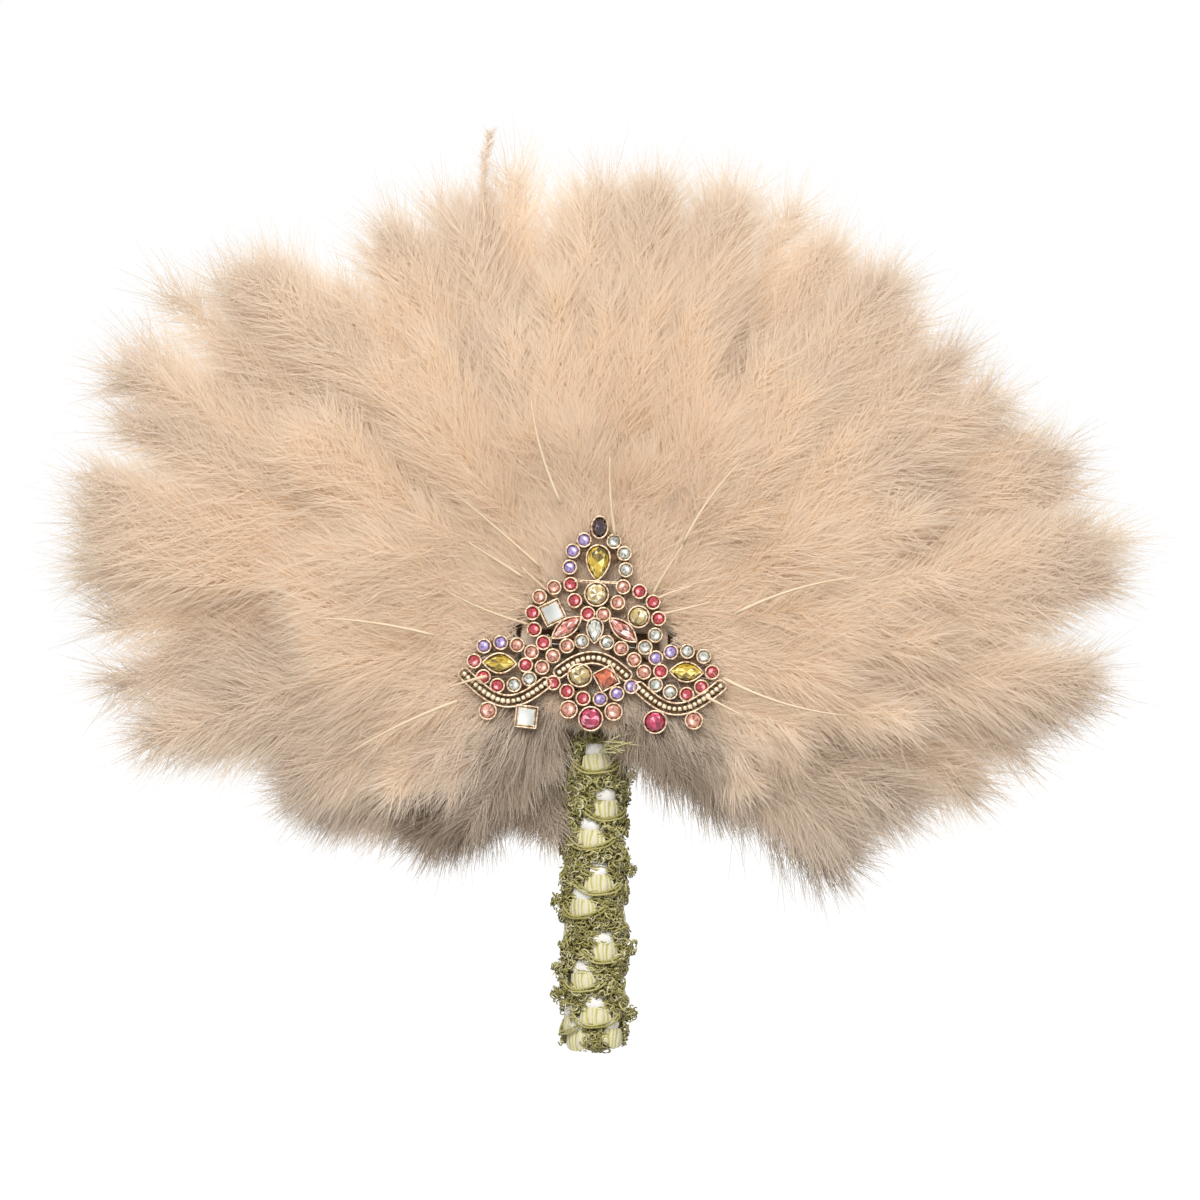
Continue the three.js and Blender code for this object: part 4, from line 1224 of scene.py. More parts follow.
def bead_tree():
    grow = Growth("beads", {"Step": "Float", "Size": "Float", "Seed": "Int"})
    sockets = {"Curve": grow.curves(grow.given["Geometry"]), "Length": grow.given["Step"]}
    points = grow.geo("CurveToPoints", sockets, mode="LENGTH")
    cube = grow.geo("MeshCube", {
        "Size": (1.0, 1.0, 1.0), "Vertices X": 3, "Vertices Y": 3, "Vertices Z": 3,
    })
    place = grow.geo("InputPosition")
    ball = place.apply("NORMALIZE") * 0.62
    bead = grow.geo("SetPosition", {"Geometry": cube, "Position": place * 0.45 + ball * 0.5})
    size = grow.random(*BEAD_SIZES, 1) * grow.given["Size"]
    return grow.finish(grow.copies(points, grow.smooth(bead), points["Rotation"], size))


rows = [rail_line(begin + BEAD_INSET, stop - BEAD_INSET, 0, 40) for begin, stop in RAIL_LENGTHS]
beads = grown("brooch_beads", lines_mesh("bead_lines", rows, BEAD_LEVEL, False), bead_tree(), {
    "Step": BEAD_STEP * MM, "Size": BEAD_SIZE * MM, "Material": bead_gilt,
})
on_fan(beads, "gilt", "brooch_setting")
print("beads:", len(beads.data.polygons) // 24)

# %% [markdown]
# Behind the stones the metal is nearly black: partly patina where polish never reached, and partly
# painted shade. Each cup has a floor, and short struts tie a cup to every neighbour it touches; they
# show as the dark joints between the rims. The rail has a floor under its beads.

# %% Dark backs
BACK = (0.1, 1.1)  # from and to, above the setting's back
STRUT = (0.3, 0.9)
RAIL_FLOOR = (0.2, 1.1)
CUP_FLOOR_INSET = 0.2
STONE_FLOOR_WIDER = 0.6
STONE_FLOOR_SIDES = 24
SEAT_RIM = 0.9  # from a large stone to the outside of its rim
STRUT_HALF = 1.2
STRUT_REACH = 1.6  # the widest gap between rims that a strut bridges


def prism(outline, low, high):
    """Corners and faces of a plate with that outline, anticlockwise."""
    count = len(outline)
    corners = [(x, y, low) for x, y in outline] + [(x, y, high) for x, y in outline]
    faces = [tuple(range(count, 2 * count)), tuple(range(count - 1, -1, -1))]
    faces += [(i, (i + 1) % count, count + (i + 1) % count, count + i) for i in range(count)]
    return corners, faces


def struts(seats):
    """Plates between the middles of seats that nearly touch; a seat is its middle and its radius."""
    plates = []
    for index, (centre, radius) in enumerate(seats):
        for other, other_radius in seats[:index]:
            apart = other - centre
            distance = np.hypot(*apart)
            if distance - radius - other_radius < STRUT_REACH:
                aside = np.array([-apart[1], apart[0]]) / distance * STRUT_HALF
                outline = [centre - aside, other - aside, other + aside, centre + aside]
                plates.append(prism(outline, *STRUT))
    return plates


def joined_mesh(name, solids):
    places, faces = [], []
    for corners, sides in solids:
        faces.extend(tuple(i + len(places) for i in side) for side in sides)
        places.extend(corners)
    return mesh_of(name, on_brooch(places), faces=faces)


seats = [(np.array([u, v]), cup_radius(u, v)) for u, v, glass in CUPS]
solids = [prism(round_rim * (radius - CUP_FLOOR_INSET) + centre, *BACK) for centre, radius in seats]
stone_floors = stone_outlines(STONE_FLOOR_WIDER, STONE_FLOOR_SIDES)
solids.extend(prism(outline, *BACK) for outline in stone_floors)
for name, cut, across, up, width, height, tilt, glass in STONES:
    seats.append((np.array([across, up]), min(width, height) / 2 + SEAT_RIM))
solids.extend(struts(seats))
for ends in RAIL_LENGTHS:
    lower, upper = (rail_line(*ends, side, RAIL_POINTS) for side in (-RAIL_HALF, RAIL_HALF))
    for i in range(RAIL_POINTS - 1):
        solids.append(prism([lower[i], lower[i + 1], upper[i + 1], upper[i]], *RAIL_FLOOR))
on_fan(piece_of("brooch_backs", joined_mesh("brooch_backs", solids), patina), "gilt", "brooch_setting")
print("backs:", len(solids), "floors and struts")

# %% [markdown]
# The small stones are all one cut: a flat table, eight kites round it and a girdle. Geometry Nodes put
# the one gem into every cup, turn it at random and number its facets at random, so that no two stones
# flash alike; the numbers set each facet's painted brightness, as painted flashes and dark reflections.
# The table's facets carry a painted reflection of the pavilion seen through it.

# %% Small stones
GEM_SIDES = 8
GEM_LEVEL = 2.2
GEM_INSET = 0.6  # from the cup's outside to the stone
TABLE_SHINE = [1.0, 0.75, 0.3, 0.12, 0.35, 0.1, 0.5, 0.85]  # painted reflection of the pavilion on the eight parts of a table
# The slot that each small glass belongs to
SMALL_SLOTS = {
    "ruby": "ruby_glass", "lavender": "lavender_glass", "peach": "rose_glass", "crystal": "crystal_glass",
}


def gem_template():
    """A round stone of radius 1 mm, with its axis along Z and its girdle at height 0."""
    def ring(radius, height, shift):
        angles = (np.arange(GEM_SIDES) + shift) * 2 * np.pi / GEM_SIDES
        return [(radius * math.cos(a), radius * math.sin(a), height) for a in angles]

    rows = ring(1, 0, 0) + ring(0.82, 0.2, 0.5) + ring(0.62, 0.34, 0) + [(0, 0, 0.34)]
    girdle, kite, table, middle = (k * GEM_SIDES for k in range(4))
    faces, shine = [], []
    for i in range(GEM_SIDES):
        j = (i + 1) % GEM_SIDES
        faces.append((girdle + i, girdle + j, kite + i))
        faces.append((kite + i, girdle + j, kite + j, table + j))
        faces.append((table + i, kite + i, table + j))
        faces.append((table + i, table + j, middle))
        # Painted brightness of each facet: girdle, kite, table ring and table part
        shine.extend([0.1, 0.18 + 0.2 * (i % 2), 0.3, TABLE_SHINE[i]])
    places = np.array(rows) * MM
    return linked("gem_template", mesh_of("gem_template", places, (), faces, {"shine": shine}, "FACE"))


def gem_tree():
    grow = Growth("gems", {"Gem": "Object", "Seed": "Int"})
    gem = grow.geo("ObjectInfo", {"Object": grow.given["Gem"]})["Geometry"]
    tip, sway = math.pi / 2 + grow.random(-0.1, 0.1, 1), grow.random(-0.1, 0.1, 3)
    turn = grow.combined(tip, grow.random(0.0, 6.28, 2), sway)
    placed = grow.copies(grow.given["Geometry"], gem, turn, grow.named("gem_radius"))
    # Painted reflection: each facet's brightness, varied from stone to stone
    facet = grow.named("shine") + grow.random(-0.14, 0.14, 4)
    return grow.finish(grow.store(grow.realized(placed), "facet", facet, "FLOAT", "FACE"))


gems = gem_tree()
template = gem_template()
for order, (glass, slot) in enumerate(SMALL_SLOTS.items()):
    spots = [(u, v) for u, v, kind in CUPS if kind == glass]
    radii = [cup_radius(u, v) - GEM_INSET for u, v in spots]
    places = on_brooch([(u, v, GEM_LEVEL) for u, v in spots])
    host = mesh_of(glass + "_spots", places, values={"gem_radius": radii})
    sizes = {"Gem": template, "Seed": 50 + order, "Material": GLASS[glass]}
    on_fan(grown("small_" + glass + "_stones", host, gems, sizes), slot, "brooch_setting")
    print(glass, "small stones:", len(spots))
bpy.data.objects.remove(template)

# %% [markdown]
# The fifteen larger stones are cut to their own outlines, so each is a small mesh: the girdle, a break
# in the crown, the table and the point of the pavilion seen through the table. A mirror stone has only
# a narrow bevel round a large flat face.

# %% Large stones
STONE_FLOOR = 1.2
GIRDLE = 2.7
CUT_SIDES = {"oval": 10, "pear": 12, "navette": 12, "square": 8}
# Painted brightness of the facets, as painted reflection
FACET_LEVELS = [0.05, 0.2, 0.4, 0.65, 0.9]


def cut_stone(cut, width, height, count, mirror):
    """Corners and faces of one stone round its own centre, and which faces lie in its table."""
    edge = stone_outline(cut, width, height, count)
    half_step = (edge + np.roll(edge, -1, 0)) / 2
    rings = [(edge, STONE_FLOOR), (edge, GIRDLE)]
    if mirror:
        rings += [(edge * 0.84, GIRDLE + 0.5)]
    else:
        rings += [(half_step * 0.85, GIRDLE + 0.7), (edge * 0.6, GIRDLE + 1.2)]
    corners = [(x, y, level) for ring, level in rings for x, y in ring]
    corners.append((0, 0, rings[-1][1]))
    table = len(rings) - 1
    faces, core = [], []
    for row in range(len(rings)):
        for i in range(count):
            j = (i + 1) % count
            a, b = row * count, (row + 1) * count
            if row == table:
                made = [(a + i, a + j, len(corners) - 1)]
            elif row == 0 or mirror:
                made = [(a + i, a + j, b + j, b + i)]
            elif row == 1:
                made = [(a + i, a + j, b + i), (a + j, b + j, b + i)]
            else:
                made = [(a + i, a + j, b + j), (a + i, b + j, b + i)]
            faces.extend(made)
            core.extend([row == table] * len(made))
    faces.append(tuple(range(count - 1, -1, -1)))
    core.append(False)
    return np.array(corners), faces, np.array(core)


facets = np.random.default_rng(8)


def stone_shine(cut, mirror, middles, core):
    """How bright each facet is painted, as painted reflection, by its middle as a share of the stone's half
    width and height.
    """
    count = len(core)
    shine = facets.choice(FACET_LEVELS, count) + facets.uniform(-0.05, 0.1, count)
    if cut == "navette":  # a painted highlight along the stone
        shine += 0.55 * (np.abs(middles[:, 1]) < 0.25) * facets.uniform(0.3, 1, count) - 0.1
    if cut == "pear":  # painted brightest towards the point
        shine += 0.35 * (middles[:, 1] < 0.1) * core - 0.25 * (middles[:, 1] > 0.35)
    if mirror:
        shine = np.where(core, 0.5, facets.uniform(0.2, 1, count))
    return shine


for name, cut, across, up, width, height, tilt, glass in STONES:
    mirror = glass == "mirror"
    corners, faces, core = cut_stone(cut, width, height, CUT_SIDES[cut], mirror)
    middles = np.array([np.mean(corners[list(face), :2], 0) for face in faces]) / (width / 2, height / 2)
    shine = stone_shine(cut, mirror, middles, core)
    corners[:, :2] = turned(corners[:, :2], tilt, across, up)
    mesh = mesh_of(name + "_cut", on_brooch(corners), (), faces, {"facet": shine}, "FACE")
    on_fan(piece_of(name + "_cut", mesh, GLASS[glass]), glass + "_glass", name)
print("large stones cut:", len(STONES))

# %% [markdown]
# The handle is a dowel wrapped in white satin ribbon. The wrap is a tube whose radius steps at every
# overlap, because each turn of ribbon lies on the edge of the turn below; the foot is folded in over
# the dowel's end. Satin shines along its weave, so the material has fine threads across the ribbon.

# %% Satin on the handle
SATIN_TURN = 12.0  # mm up the handle for one turn of ribbon
SATIN_LOW = 7.5  # radius under an overlap, in mm
SATIN_STEP = 0.45
SATIN_SIDES = 72
SATIN_ROW = 0.7
FOOT_RINGS = (0.12, 0.45, 0.8, 0.94)  # of the folded foot, as shares of the radius


def satin_material():
    paint = Paint("satin")
    soft = paint.noise(260.0, 3.0)
    return paint.coated({
        "Base Color": soft.ramp([(0.3, (0.80, 0.78, 0.73)), (0.65, (0.93, 0.92, 0.88))]),
        "Roughness": 0.36 + soft * 0.12,
        "Normal": paint.bump(paint.threads(900.0, Distortion=2.0, Detail=1.0), 0.2, 0.1),
        "Sheen Weight": 0.3,
        "Sheen Roughness": 0.4,
    })


def satin_mesh(low, high):
    """A wound sleeve from one height to another, in millimetres, closed over its foot."""
    angles = circle_points(SATIN_SIDES)[0]
    rows = []
    for share in FOOT_RINGS:
        pleats = 0.25 * np.sin(angles * 9) * share
        rows.append((np.full(SATIN_SIDES, SATIN_LOW * share), low + 0.3 + pleats))
    for level in np.arange(low, high, SATIN_ROW)[1:]:
        lap = ((level - low) / SATIN_TURN + angles / (2 * np.pi)) % 1
        radii = SATIN_LOW + SATIN_STEP * lap + 0.06 * np.sin(angles * 5 + level)
        rows.append((radii, np.full(SATIN_SIDES, level)))
    places = [
        (r * math.sin(a) * MM, -r * math.cos(a) * MM, h * MM)
        for radii, heights in rows for a, r, h in zip(angles, radii, heights)
    ]
    foot = tuple(range(SATIN_SIDES - 1, -1, -1))
    mesh = mesh_of("satin_wrap", places, faces=grid_faces(len(rows) - 1, SATIN_SIDES, True) + [foot])
    mesh.shade_smooth()
    return mesh


satin = satin_material()
ribbon_low, ribbon_high = (corner[2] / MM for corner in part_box("handle_ribbon"))
on_fan(piece_of("satin_wrap", satin_mesh(ribbon_low, ribbon_high), satin), "satin", "handle_ribbon")
print("satin from", round(ribbon_low, 1), "to", round(ribbon_high, 1), "mm")

# %% [markdown]
# The lace is knotted olive cord: a band of small loops wound down the handle, with pleated cream
# shells in it, a double cord slung under each shell but the lowest and cords along each edge of the
# band. It is laid out flat, as a distance round the handle, a height and a distance out, and a last
# node rolls everything up. Loops, ground, cords and shells are four pieces, because each has its own
# kind of host.

# %% Lace material and the roll-up
ROLL_RADIUS = 9.0  # of the cylinder that the flat layout is rolled on, in mm
GIRTH = 2 * math.pi * ROLL_RADIUS
LACE_TOP = 44.8  # middle of the band at the front, in mm
LACE_PITCH = 10.8
LACE_HALF = 4.7
LACE_TURNS = 8.3
LACE_TINTS = [  # from painted shade between loops to pale cord, partly its own tone and partly painted highlight
    (0.0, (0.035, 0.029, 0.003)), (0.35, (0.30, 0.265, 0.05)), (0.65, (0.58, 0.53, 0.20)),
    (0.8, (0.70, 0.65, 0.39)), (1.0, (0.68, 0.64, 0.50)),
]
# Painted shade in the grooves of the cord's twist
TWIST_SHADE_COLOUR = (0.16, 0.12, 0.03)
TWIST_RATE = 75.0
NO_TWIST = 0.063  # a run along the cord where the twist's painted shade shows least
# Shells at the front, by their distance to the right and their height, in mm
FRONT_SHELLS = [
    (0.6, 42.6), (4.2, 27.2), (-1.3, 17.9), (1.6, 3.2), (-4.2, -4.5), (3.5, -18.9), (-4.2, -28.2),
    (0.3, -39.7), (-6.2, -47.4), (7.0, -46.8),
]
SHELL_SPAN = (-47.5, 44)  # lowest and highest, on the other two thirds of the handle
SHELL_HALVES = (4.9, 3.6)  # half width and half height that the net leaves free
OPENING_HALVES = (3.7, 2.6)
OPENING_RISE = 3.9


def lace_material():
    """Cord colour by the second UV axis, with painted shade in the twist along the first."""
    paint = Paint("lace")
    run, tint = paint.baked()
    twist = ((run * TWIST_RATE).apply("SINE") * 0.5 + 0.5) * 0.16
    return paint.coated({
        "Base Color": twist.mix_colours(tint.ramp(LACE_TINTS), TWIST_SHADE_COLOUR),
        "Roughness": 0.6 + twist * 0.3,
        "Sheen Weight": 0.2,
    })


def rolled(grow, geometry):
    """Flat places round, up and out, all in metres, as places on the handle."""
    flat = grow.geo("InputPosition").split()
    angle = flat["X"] / (ROLL_RADIUS * MM)
    radius = flat["Z"] + ROLL_RADIUS * MM
    place = grow.combined(radius * angle.apply("SINE"), radius * angle.apply("COSINE") * -1, flat["Y"])
    return grow.geo("SetPosition", {"Geometry": geometry, "Position": place})


def round_gap(x, centre):
    """Distance round the handle between two places, the short way."""
    return (x - centre + GIRTH / 2) % GIRTH - GIRTH / 2


def in_shell(x, z):
    """Whether a place lies in a shell or in the opening above it."""
    for centre, level in shells:
        across, up = round_gap(x, centre), z - level
        for (wide, high), rise in ((SHELL_HALVES, 0), (OPENING_HALVES, OPENING_RISE)):
            if (across / wide) ** 2 + ((up - rise) / high) ** 2 < 1:
                return True
    return False


lace = lace_material()
knots = np.random.default_rng(31)
shells = list(FRONT_SHELLS)
for third, lift in ((1, -4.5), (2, 4.0)):
    moved = [(x + third * GIRTH / 3, z + lift) for x, z in FRONT_SHELLS]
    shells.extend((x, z) for x, z in moved if SHELL_SPAN[0] < z < SHELL_SPAN[1])
print(len(shells), "shells round the handle")

# %% [markdown]
# The loops are little curls of cord. They lie on a loose grid that leaves the shells and the openings
# free, and stand out most along the middle of the band. In a few places they gather in thick tufts.

# %% Loops of the lace
LOOP_STEP = 1.18
LOOP_LEVELS = np.arange(-49.4, 52, LOOP_STEP)
LOOP_STRAY = 0.8
LOOP_CORD = 0.27  # radius of the cord in mm
LOOP_TURNS = [(-0.9, 0.9), (-0.9, 0.9), (0, 6.28)]  # least and most about X, Y and Z
LOOP_SIZES = (0.75, 1.2)
TUFT_LOOPS = 32
TUFT_SIZES = (0.7, 1.1)
TUFT_TINTS = (0.2, 0.8)
TUFTS = [
    (12.6, 38.7), (12.2, 6.7), (12.6, -18.9), (11.8, -39.7), (-12.4, 32.3), (-12.6, -2.9),
    (-12.2, -25.3), (-12.6, -33.3), (26, 20), (30, -10), (24, -36), (34, 42), (0.5, -49.6),
]


def off_band(x, z):
    """How far a place lies above or below the middle of the band, in mm."""
    drop = LACE_TOP - z - LACE_PITCH * x / GIRTH
    return abs((drop + LACE_PITCH / 2) % LACE_PITCH - LACE_PITCH / 2)


def loop_places():
    """Places, sizes and tints of all loops."""
    rows = []
    for level in LOOP_LEVELS:
        for x in np.arange(0, GIRTH, LOOP_STEP):
            x = x + knots.uniform(-LOOP_STRAY, LOOP_STRAY)
            z = level + knots.uniform(-LOOP_STRAY, LOOP_STRAY)
            if in_shell(x, z):
                continue
            lump = 0.5 + 0.5 * math.sin(x * 0.55 + 1.3) * math.sin(z * 0.62)
            bulge = 1 - (off_band(x, z) / (LACE_PITCH / 2)) ** 2
            out = knots.uniform(-0.6, 0.3) + bulge * (0.7 + 1.1 * lump)
            rows.append((x, z, out, knots.uniform(*LOOP_SIZES), 0.14 + 0.74 * knots.beta(1.1, 1.0)))
    for centre, level in TUFTS:
        for number in range(TUFT_LOOPS):
            out = knots.uniform(0.5, 4.2)
            spread = (3.4 - out * 0.45) * 0.6
            x, z = centre + knots.normal(0, spread), level + knots.normal(0, spread)
            rows.append((x, z, out, knots.uniform(*TUFT_SIZES), knots.uniform(*TUFT_TINTS)))
    return np.array(rows)


def loop_tree():
    grow = Growth("lace_loops", {"Cord": "Float", "Seed": "Int"})
    curl = grow.geo("CurveSpiral", {
        "Resolution": 9, "Rotations": 0.9, "Start Radius": 1.4 * MM, "End Radius": 0.5 * MM,
        "Height": 1.4 * MM,
    })
    curl = grow.store(curl, "run", grow.geo("SplineParameter")["Factor"])
    loop = grow.geo("CurveToMesh", {"Curve": curl, "Profile Curve": grow.ring(3, grow.given["Cord"])})
    size = grow.named("size")
    wide, high = size * grow.random(0.7, 1.5, 1), size * grow.random(0.6, 1.1, 2)
    placed = grow.geo("InstanceOnPoints", {
        "Points": grow.given["Geometry"], "Instance": grow.smooth(loop),
        "Rotation": grow.vector("turn"), "Scale": grow.combined(wide, high, size),
    })
    wound = rolled(grow, grow.realized(placed))
    return grow.finish(grow.bake(wound, grow.named("run"), grow.named("tint")))


rows = loop_places()
turns = np.stack([knots.uniform(*limits, len(rows)) for limits in LOOP_TURNS], 1)
loops_host = mesh_of("lace_loop_places", rows[:, :3] * MM, values={
    "turn": turns, "size": rows[:, 3], "tint": rows[:, 4],
})
net = grown("lace_loops", loops_host, loop_tree(), {"Cord": LOOP_CORD * MM, "Material": lace})
on_fan(net, "lace", "lace_trim")
print("lace loops:", len(rows), "with", len(net.data.polygons), "faces")

# %% [markdown]
# Under the loops lies the ground, a dense net whose dark colour is painted shade between the
# loops. It is one uneven sleeve, without the cells that would lie under the shells and in their openings.

# %% Ground of the lace
GROUND_CELL = 0.8
GROUND_SPAN = (-50.6, 51.5)
GROUND_RADIUS = 8.3
GROUND_ROUGH = 0.5


def shade_ground_mesh():
    columns = int(GIRTH / GROUND_CELL)
    levels = np.arange(*GROUND_SPAN, GROUND_CELL)
    # Dark tints: painted shade between the loops
    tints = knots.uniform(0.0, 0.2, (len(levels), columns))
    radii = GROUND_RADIUS + knots.uniform(0, GROUND_ROUGH, (len(levels), columns))
    angles = circle_points(columns)[0]
    heights = np.repeat(levels[:, None], columns, 1)
    places = np.stack([radii * np.sin(angles), -radii * np.cos(angles), heights], 2).reshape(-1, 3)
    faces = []
    for number, face in enumerate(grid_faces(len(levels) - 1, columns, True)):
        if not in_shell(angles[number % columns] * ROLL_RADIUS, levels[number // columns]):
            faces.append(face)
    mesh = mesh_of("lace_ground", places * MM, faces=faces)
    corner = np.zeros(len(mesh.loops), np.int32)
    mesh.loops.foreach_get("vertex_index", corner)
    tint = tints.ravel()[corner]
    uv = np.stack([np.full(len(tint), NO_TWIST), tint], 1).astype(np.float32)
    mesh.uv_layers.new(name="OFBake").data.foreach_set("uv", uv.ravel())
    return mesh


ground = piece_of("lace_ground", shade_ground_mesh(), lace)
on_fan(ground, "lace", "lace_trim")
print("lace ground:", len(ground.data.polygons), "cells")

# %% [markdown]
# Three kinds of cord run over the net: a pair slung under most shells, two along each edge of the band,
# and loose threads where the band is frayed at the top of the handle.

# %% Cords of the lace
CORD_RADIUS = 0.4
CORD_POINTS = 26
CORD_SIDES = 6
LOWEST_SLING = -45  # shells below this have no slung cords
BAND_STEPS = 30  # points of an edge cord in one turn
BAND_SPAN = (-51, 50)
FRAYED_COUNT = 26


def slung_cords():
    """Two cords under each shell. A cord is its points, its radius and its tint."""
    run = np.linspace(-1, 1, CORD_POINTS)
    cords = []
    for centre, level in shells:
        if level < LOWEST_SLING:
            continue
        for drop in (0.0, 0.95):
            across = centre + (7.0 + drop * 0.6) * run
            low = level - 3.1 - drop + 3.4 * run ** 2 + 0.25 * np.sin(run * 5 + drop)
            line = np.stack([across, low, 2.3 - 0.5 * run ** 2], 1)
            cords.append((line, CORD_RADIUS * 0.85, knots.uniform(0.38, 0.56)))
    return cords


def edge_cords():
    """Two cords along each edge of the band."""
    around = np.linspace(0.1, LACE_TURNS, int(LACE_TURNS * BAND_STEPS)) * GIRTH
    cords = []
    for side in (-1, -0.82, 0.82, 1):
        wave = 0.35 * np.sin(around * 1.7 + side)
        height = LACE_TOP - LACE_PITCH * around / GIRTH + side * LACE_HALF + wave
        keep = (height > BAND_SPAN[0]) & (height < BAND_SPAN[1])
        line = np.stack([around, height, 0.35 + 0.3 * np.sin(around * 0.9 + side)], 1)
        cords.append((line[keep], CORD_RADIUS * 0.8, knots.uniform(0.35, 0.6)))
    return cords


def frayed_cords():
    """Loose threads in front of the handle's top."""
    def place(*limits):
        return np.array([knots.uniform(*limit) for limit in limits])

    share = np.linspace(0, 1, 9)[:, None]
    cords = []
    for number in range(FRAYED_COUNT):
        begin = place((1, 4), (45, 50), (3, 7))
        ahead = place((1, 3.5), (-0.5, 4.5), (4, 8))
        sag = place((-2, 2), (-2.5, 0.5), (-0.5, 1))
        line = begin + ahead * share + sag * share ** 2
        cords.append((line, CORD_RADIUS * 0.5, knots.uniform(0.55, 0.9)))
    return cords


def cord_tree():
    grow = Growth("lace_cords", {})
    lines = grow.curves(rolled(grow, grow.given["Geometry"]))
    lines = grow.store(lines, "run", grow.geo("SplineParameter")["Length"] / (14 * MM))
    tubes = grow.smooth(grow.tubes(lines, CORD_SIDES, grow.named("cord_radius")))
    return grow.finish(grow.bake(tubes, grow.named("run"), grow.named("tint")))


points, edges, radii, tints = [], [], [], []
for line, radius, tint in slung_cords() + edge_cords() + frayed_cords():
    edges.extend(chain(len(points), len(line)))
    points.extend(line.tolist())
    radii.extend([radius * MM] * len(line))
    tints.extend([tint] * len(line))
cords_host = mesh_of("lace_cord_lines", np.array(points) * MM, edges, values={
    "cord_radius": radii, "tint": tints,
})
cords = grown("lace_cords", cords_host, cord_tree(), {"Material": lace})
on_fan(cords, "lace", "lace_trim")
print("lace cords:", len(cords.data.polygons), "faces")

# %% [markdown]
# The shells are one pleated template, put at every place with its own size and tilt. Above each shell
# the lace has an opening, and the satin under it puffs out a little: small domes of satin, placed and
# rolled up by the same kind of tree.

# %% Shells of the lace, and satin in the openings
SHELL_ACROSS = 36
SHELL_UP = 8
SHELL_HALF = 4.6
PLEATS = 6
PUFF_CELLS = 10
PUFF_RISE = 3.7  # from a shell's middle to its opening's, in mm


def shell_template():
    """One pleated shell, flat: its lower edge hangs in an arc and its pleats gather towards the top."""
    across = np.linspace(-1, 1, SHELL_ACROSS + 1)
    low, high = -3.6 + 1.9 * across ** 2, 2.4 - 0.4 * across ** 2
    places, ridges = [], []
    for q in np.linspace(0, 1, SHELL_UP + 1):
        half = SHELL_HALF * (1 - 0.25 * q ** 1.3)
        bent = across + 0.07 * np.sin(across * 8 + 1) + 0.06 * np.sin(across * 3 + 4 * q)
        fold = 0.5 + 0.5 * np.cos(bent * math.pi * PLEATS)
        pleat = 0.3 * fold * (1 - 0.3 * q)
        out = 0.2 + 0.7 * (1 - across ** 2) * math.sin(math.pi * (0.25 + 0.65 * q)) + pleat
        places.extend(np.stack([across * half, low + (high - low) * q, out], 1).tolist())
        ridges.extend(1 - (1 - fold) ** 3)
    faces = grid_faces(SHELL_UP, SHELL_ACROSS, False)
    mesh = mesh_of("shell_template", np.array(places) * MM, (), faces, {"ridge": ridges})
    return linked("shell_template", mesh)


def puff_template():
    """A small dome with a slight ruck."""
    share = np.linspace(-1, 1, PUFF_CELLS + 1)
    places = []
    for q in share:
        for s in share:
            crown = max(0.0, 1 - (s ** 2 + q ** 2) / 2)
            ruck = 0.12 * math.sin(4 * s + 2 * q)
            places.append((s * 3.3, q * 2.3 + 0.2 * s, -0.7 + 1.5 * crown + ruck * crown))
    faces = grid_faces(PUFF_CELLS, PUFF_CELLS, False)
    return linked("puff_template", mesh_of("puff_template", np.array(places) * MM, faces=faces))


def template_tree(name, sizes, tilt, tinted):
    """Copies of a template at points, sized and tilted at random and rolled on the handle."""
    grow = Growth(name, {"Template": "Object", "Seed": "Int"})
    shape = grow.geo("ObjectInfo", {"Object": grow.given["Template"]})["Geometry"]
    turn = grow.combined(0.0, 0.0, grow.random(-tilt, tilt, 2))
    placed = grow.copies(grow.given["Geometry"], shape, turn, grow.random(*sizes, 1))
    wound = grow.smooth(rolled(grow, grow.realized(placed)))
    if tinted:
        # Painted shade: the pleats' valleys are darker than their ridges, and noise mottles the tone
        mottle = grow.add("ShaderNodeTexNoise", {"Scale": 700.0, "Detail": 2.0})
        wound = grow.bake(wound, NO_TWIST, grow.named("ridge") * 0.44 + 0.5 + (mottle - 0.5) * 0.3)
    return grow.finish(wound)


def copies_on_handle(name, template, tree, rise, seed, material):
    host = mesh_of(name + "_places", np.array([(x, z + rise, 0.0) for x, z in shells]) * MM)
    piece = grown(name, host, tree, {"Template": template, "Seed": seed, "Material": material})
    bpy.data.objects.remove(template)
    return piece


shell_tree = template_tree("lace_shells", (1.0, 1.22), 0.25, True)
fans = copies_on_handle("lace_shells", shell_template(), shell_tree, 0, 90, lace)
on_fan(fans, "lace", "lace_trim")
puff_tree = template_tree("satin_puffs", (0.85, 1.2), 0.4, False)
puffs = copies_on_handle("satin_puffs", puff_template(), puff_tree, PUFF_RISE, 70, satin)
on_fan(puffs, "satin", "handle_ribbon")
print("lace shells:", len(fans.data.polygons), "faces, and", len(shells), "satin puffs")

# %% [markdown]
# What holds the fan together is mostly hidden: the dowel and the two plywood boards, felt pads over the
# quill ends, and the brooch's pin. The wood's grain runs along the dowel and across the boards. The pin
# is plain steel wire, and its hinge and catch are gilt like the brooch's back.

# %% Wood and steel
def wood_material(name, stretch):
    """Pale wood: stretched noise for the grain, finer noise for the pores."""
    paint = Paint(name)
    rings = paint.noise(60.0, 5.0, 0.6, stretch)
    pores = paint.noise(500.0, 2.0, 0.0, stretch)
    stops = [(0.35, (0.42, 0.27, 0.13)), (0.5, (0.62, 0.44, 0.25)), (0.68, (0.72, 0.55, 0.34))]
    return paint.coated({
        "Base Color": rings.ramp(stops),
        "Roughness": 0.55 + pores * 0.2,
        "Normal": paint.bump(pores, 0.3, 0.2),
    })


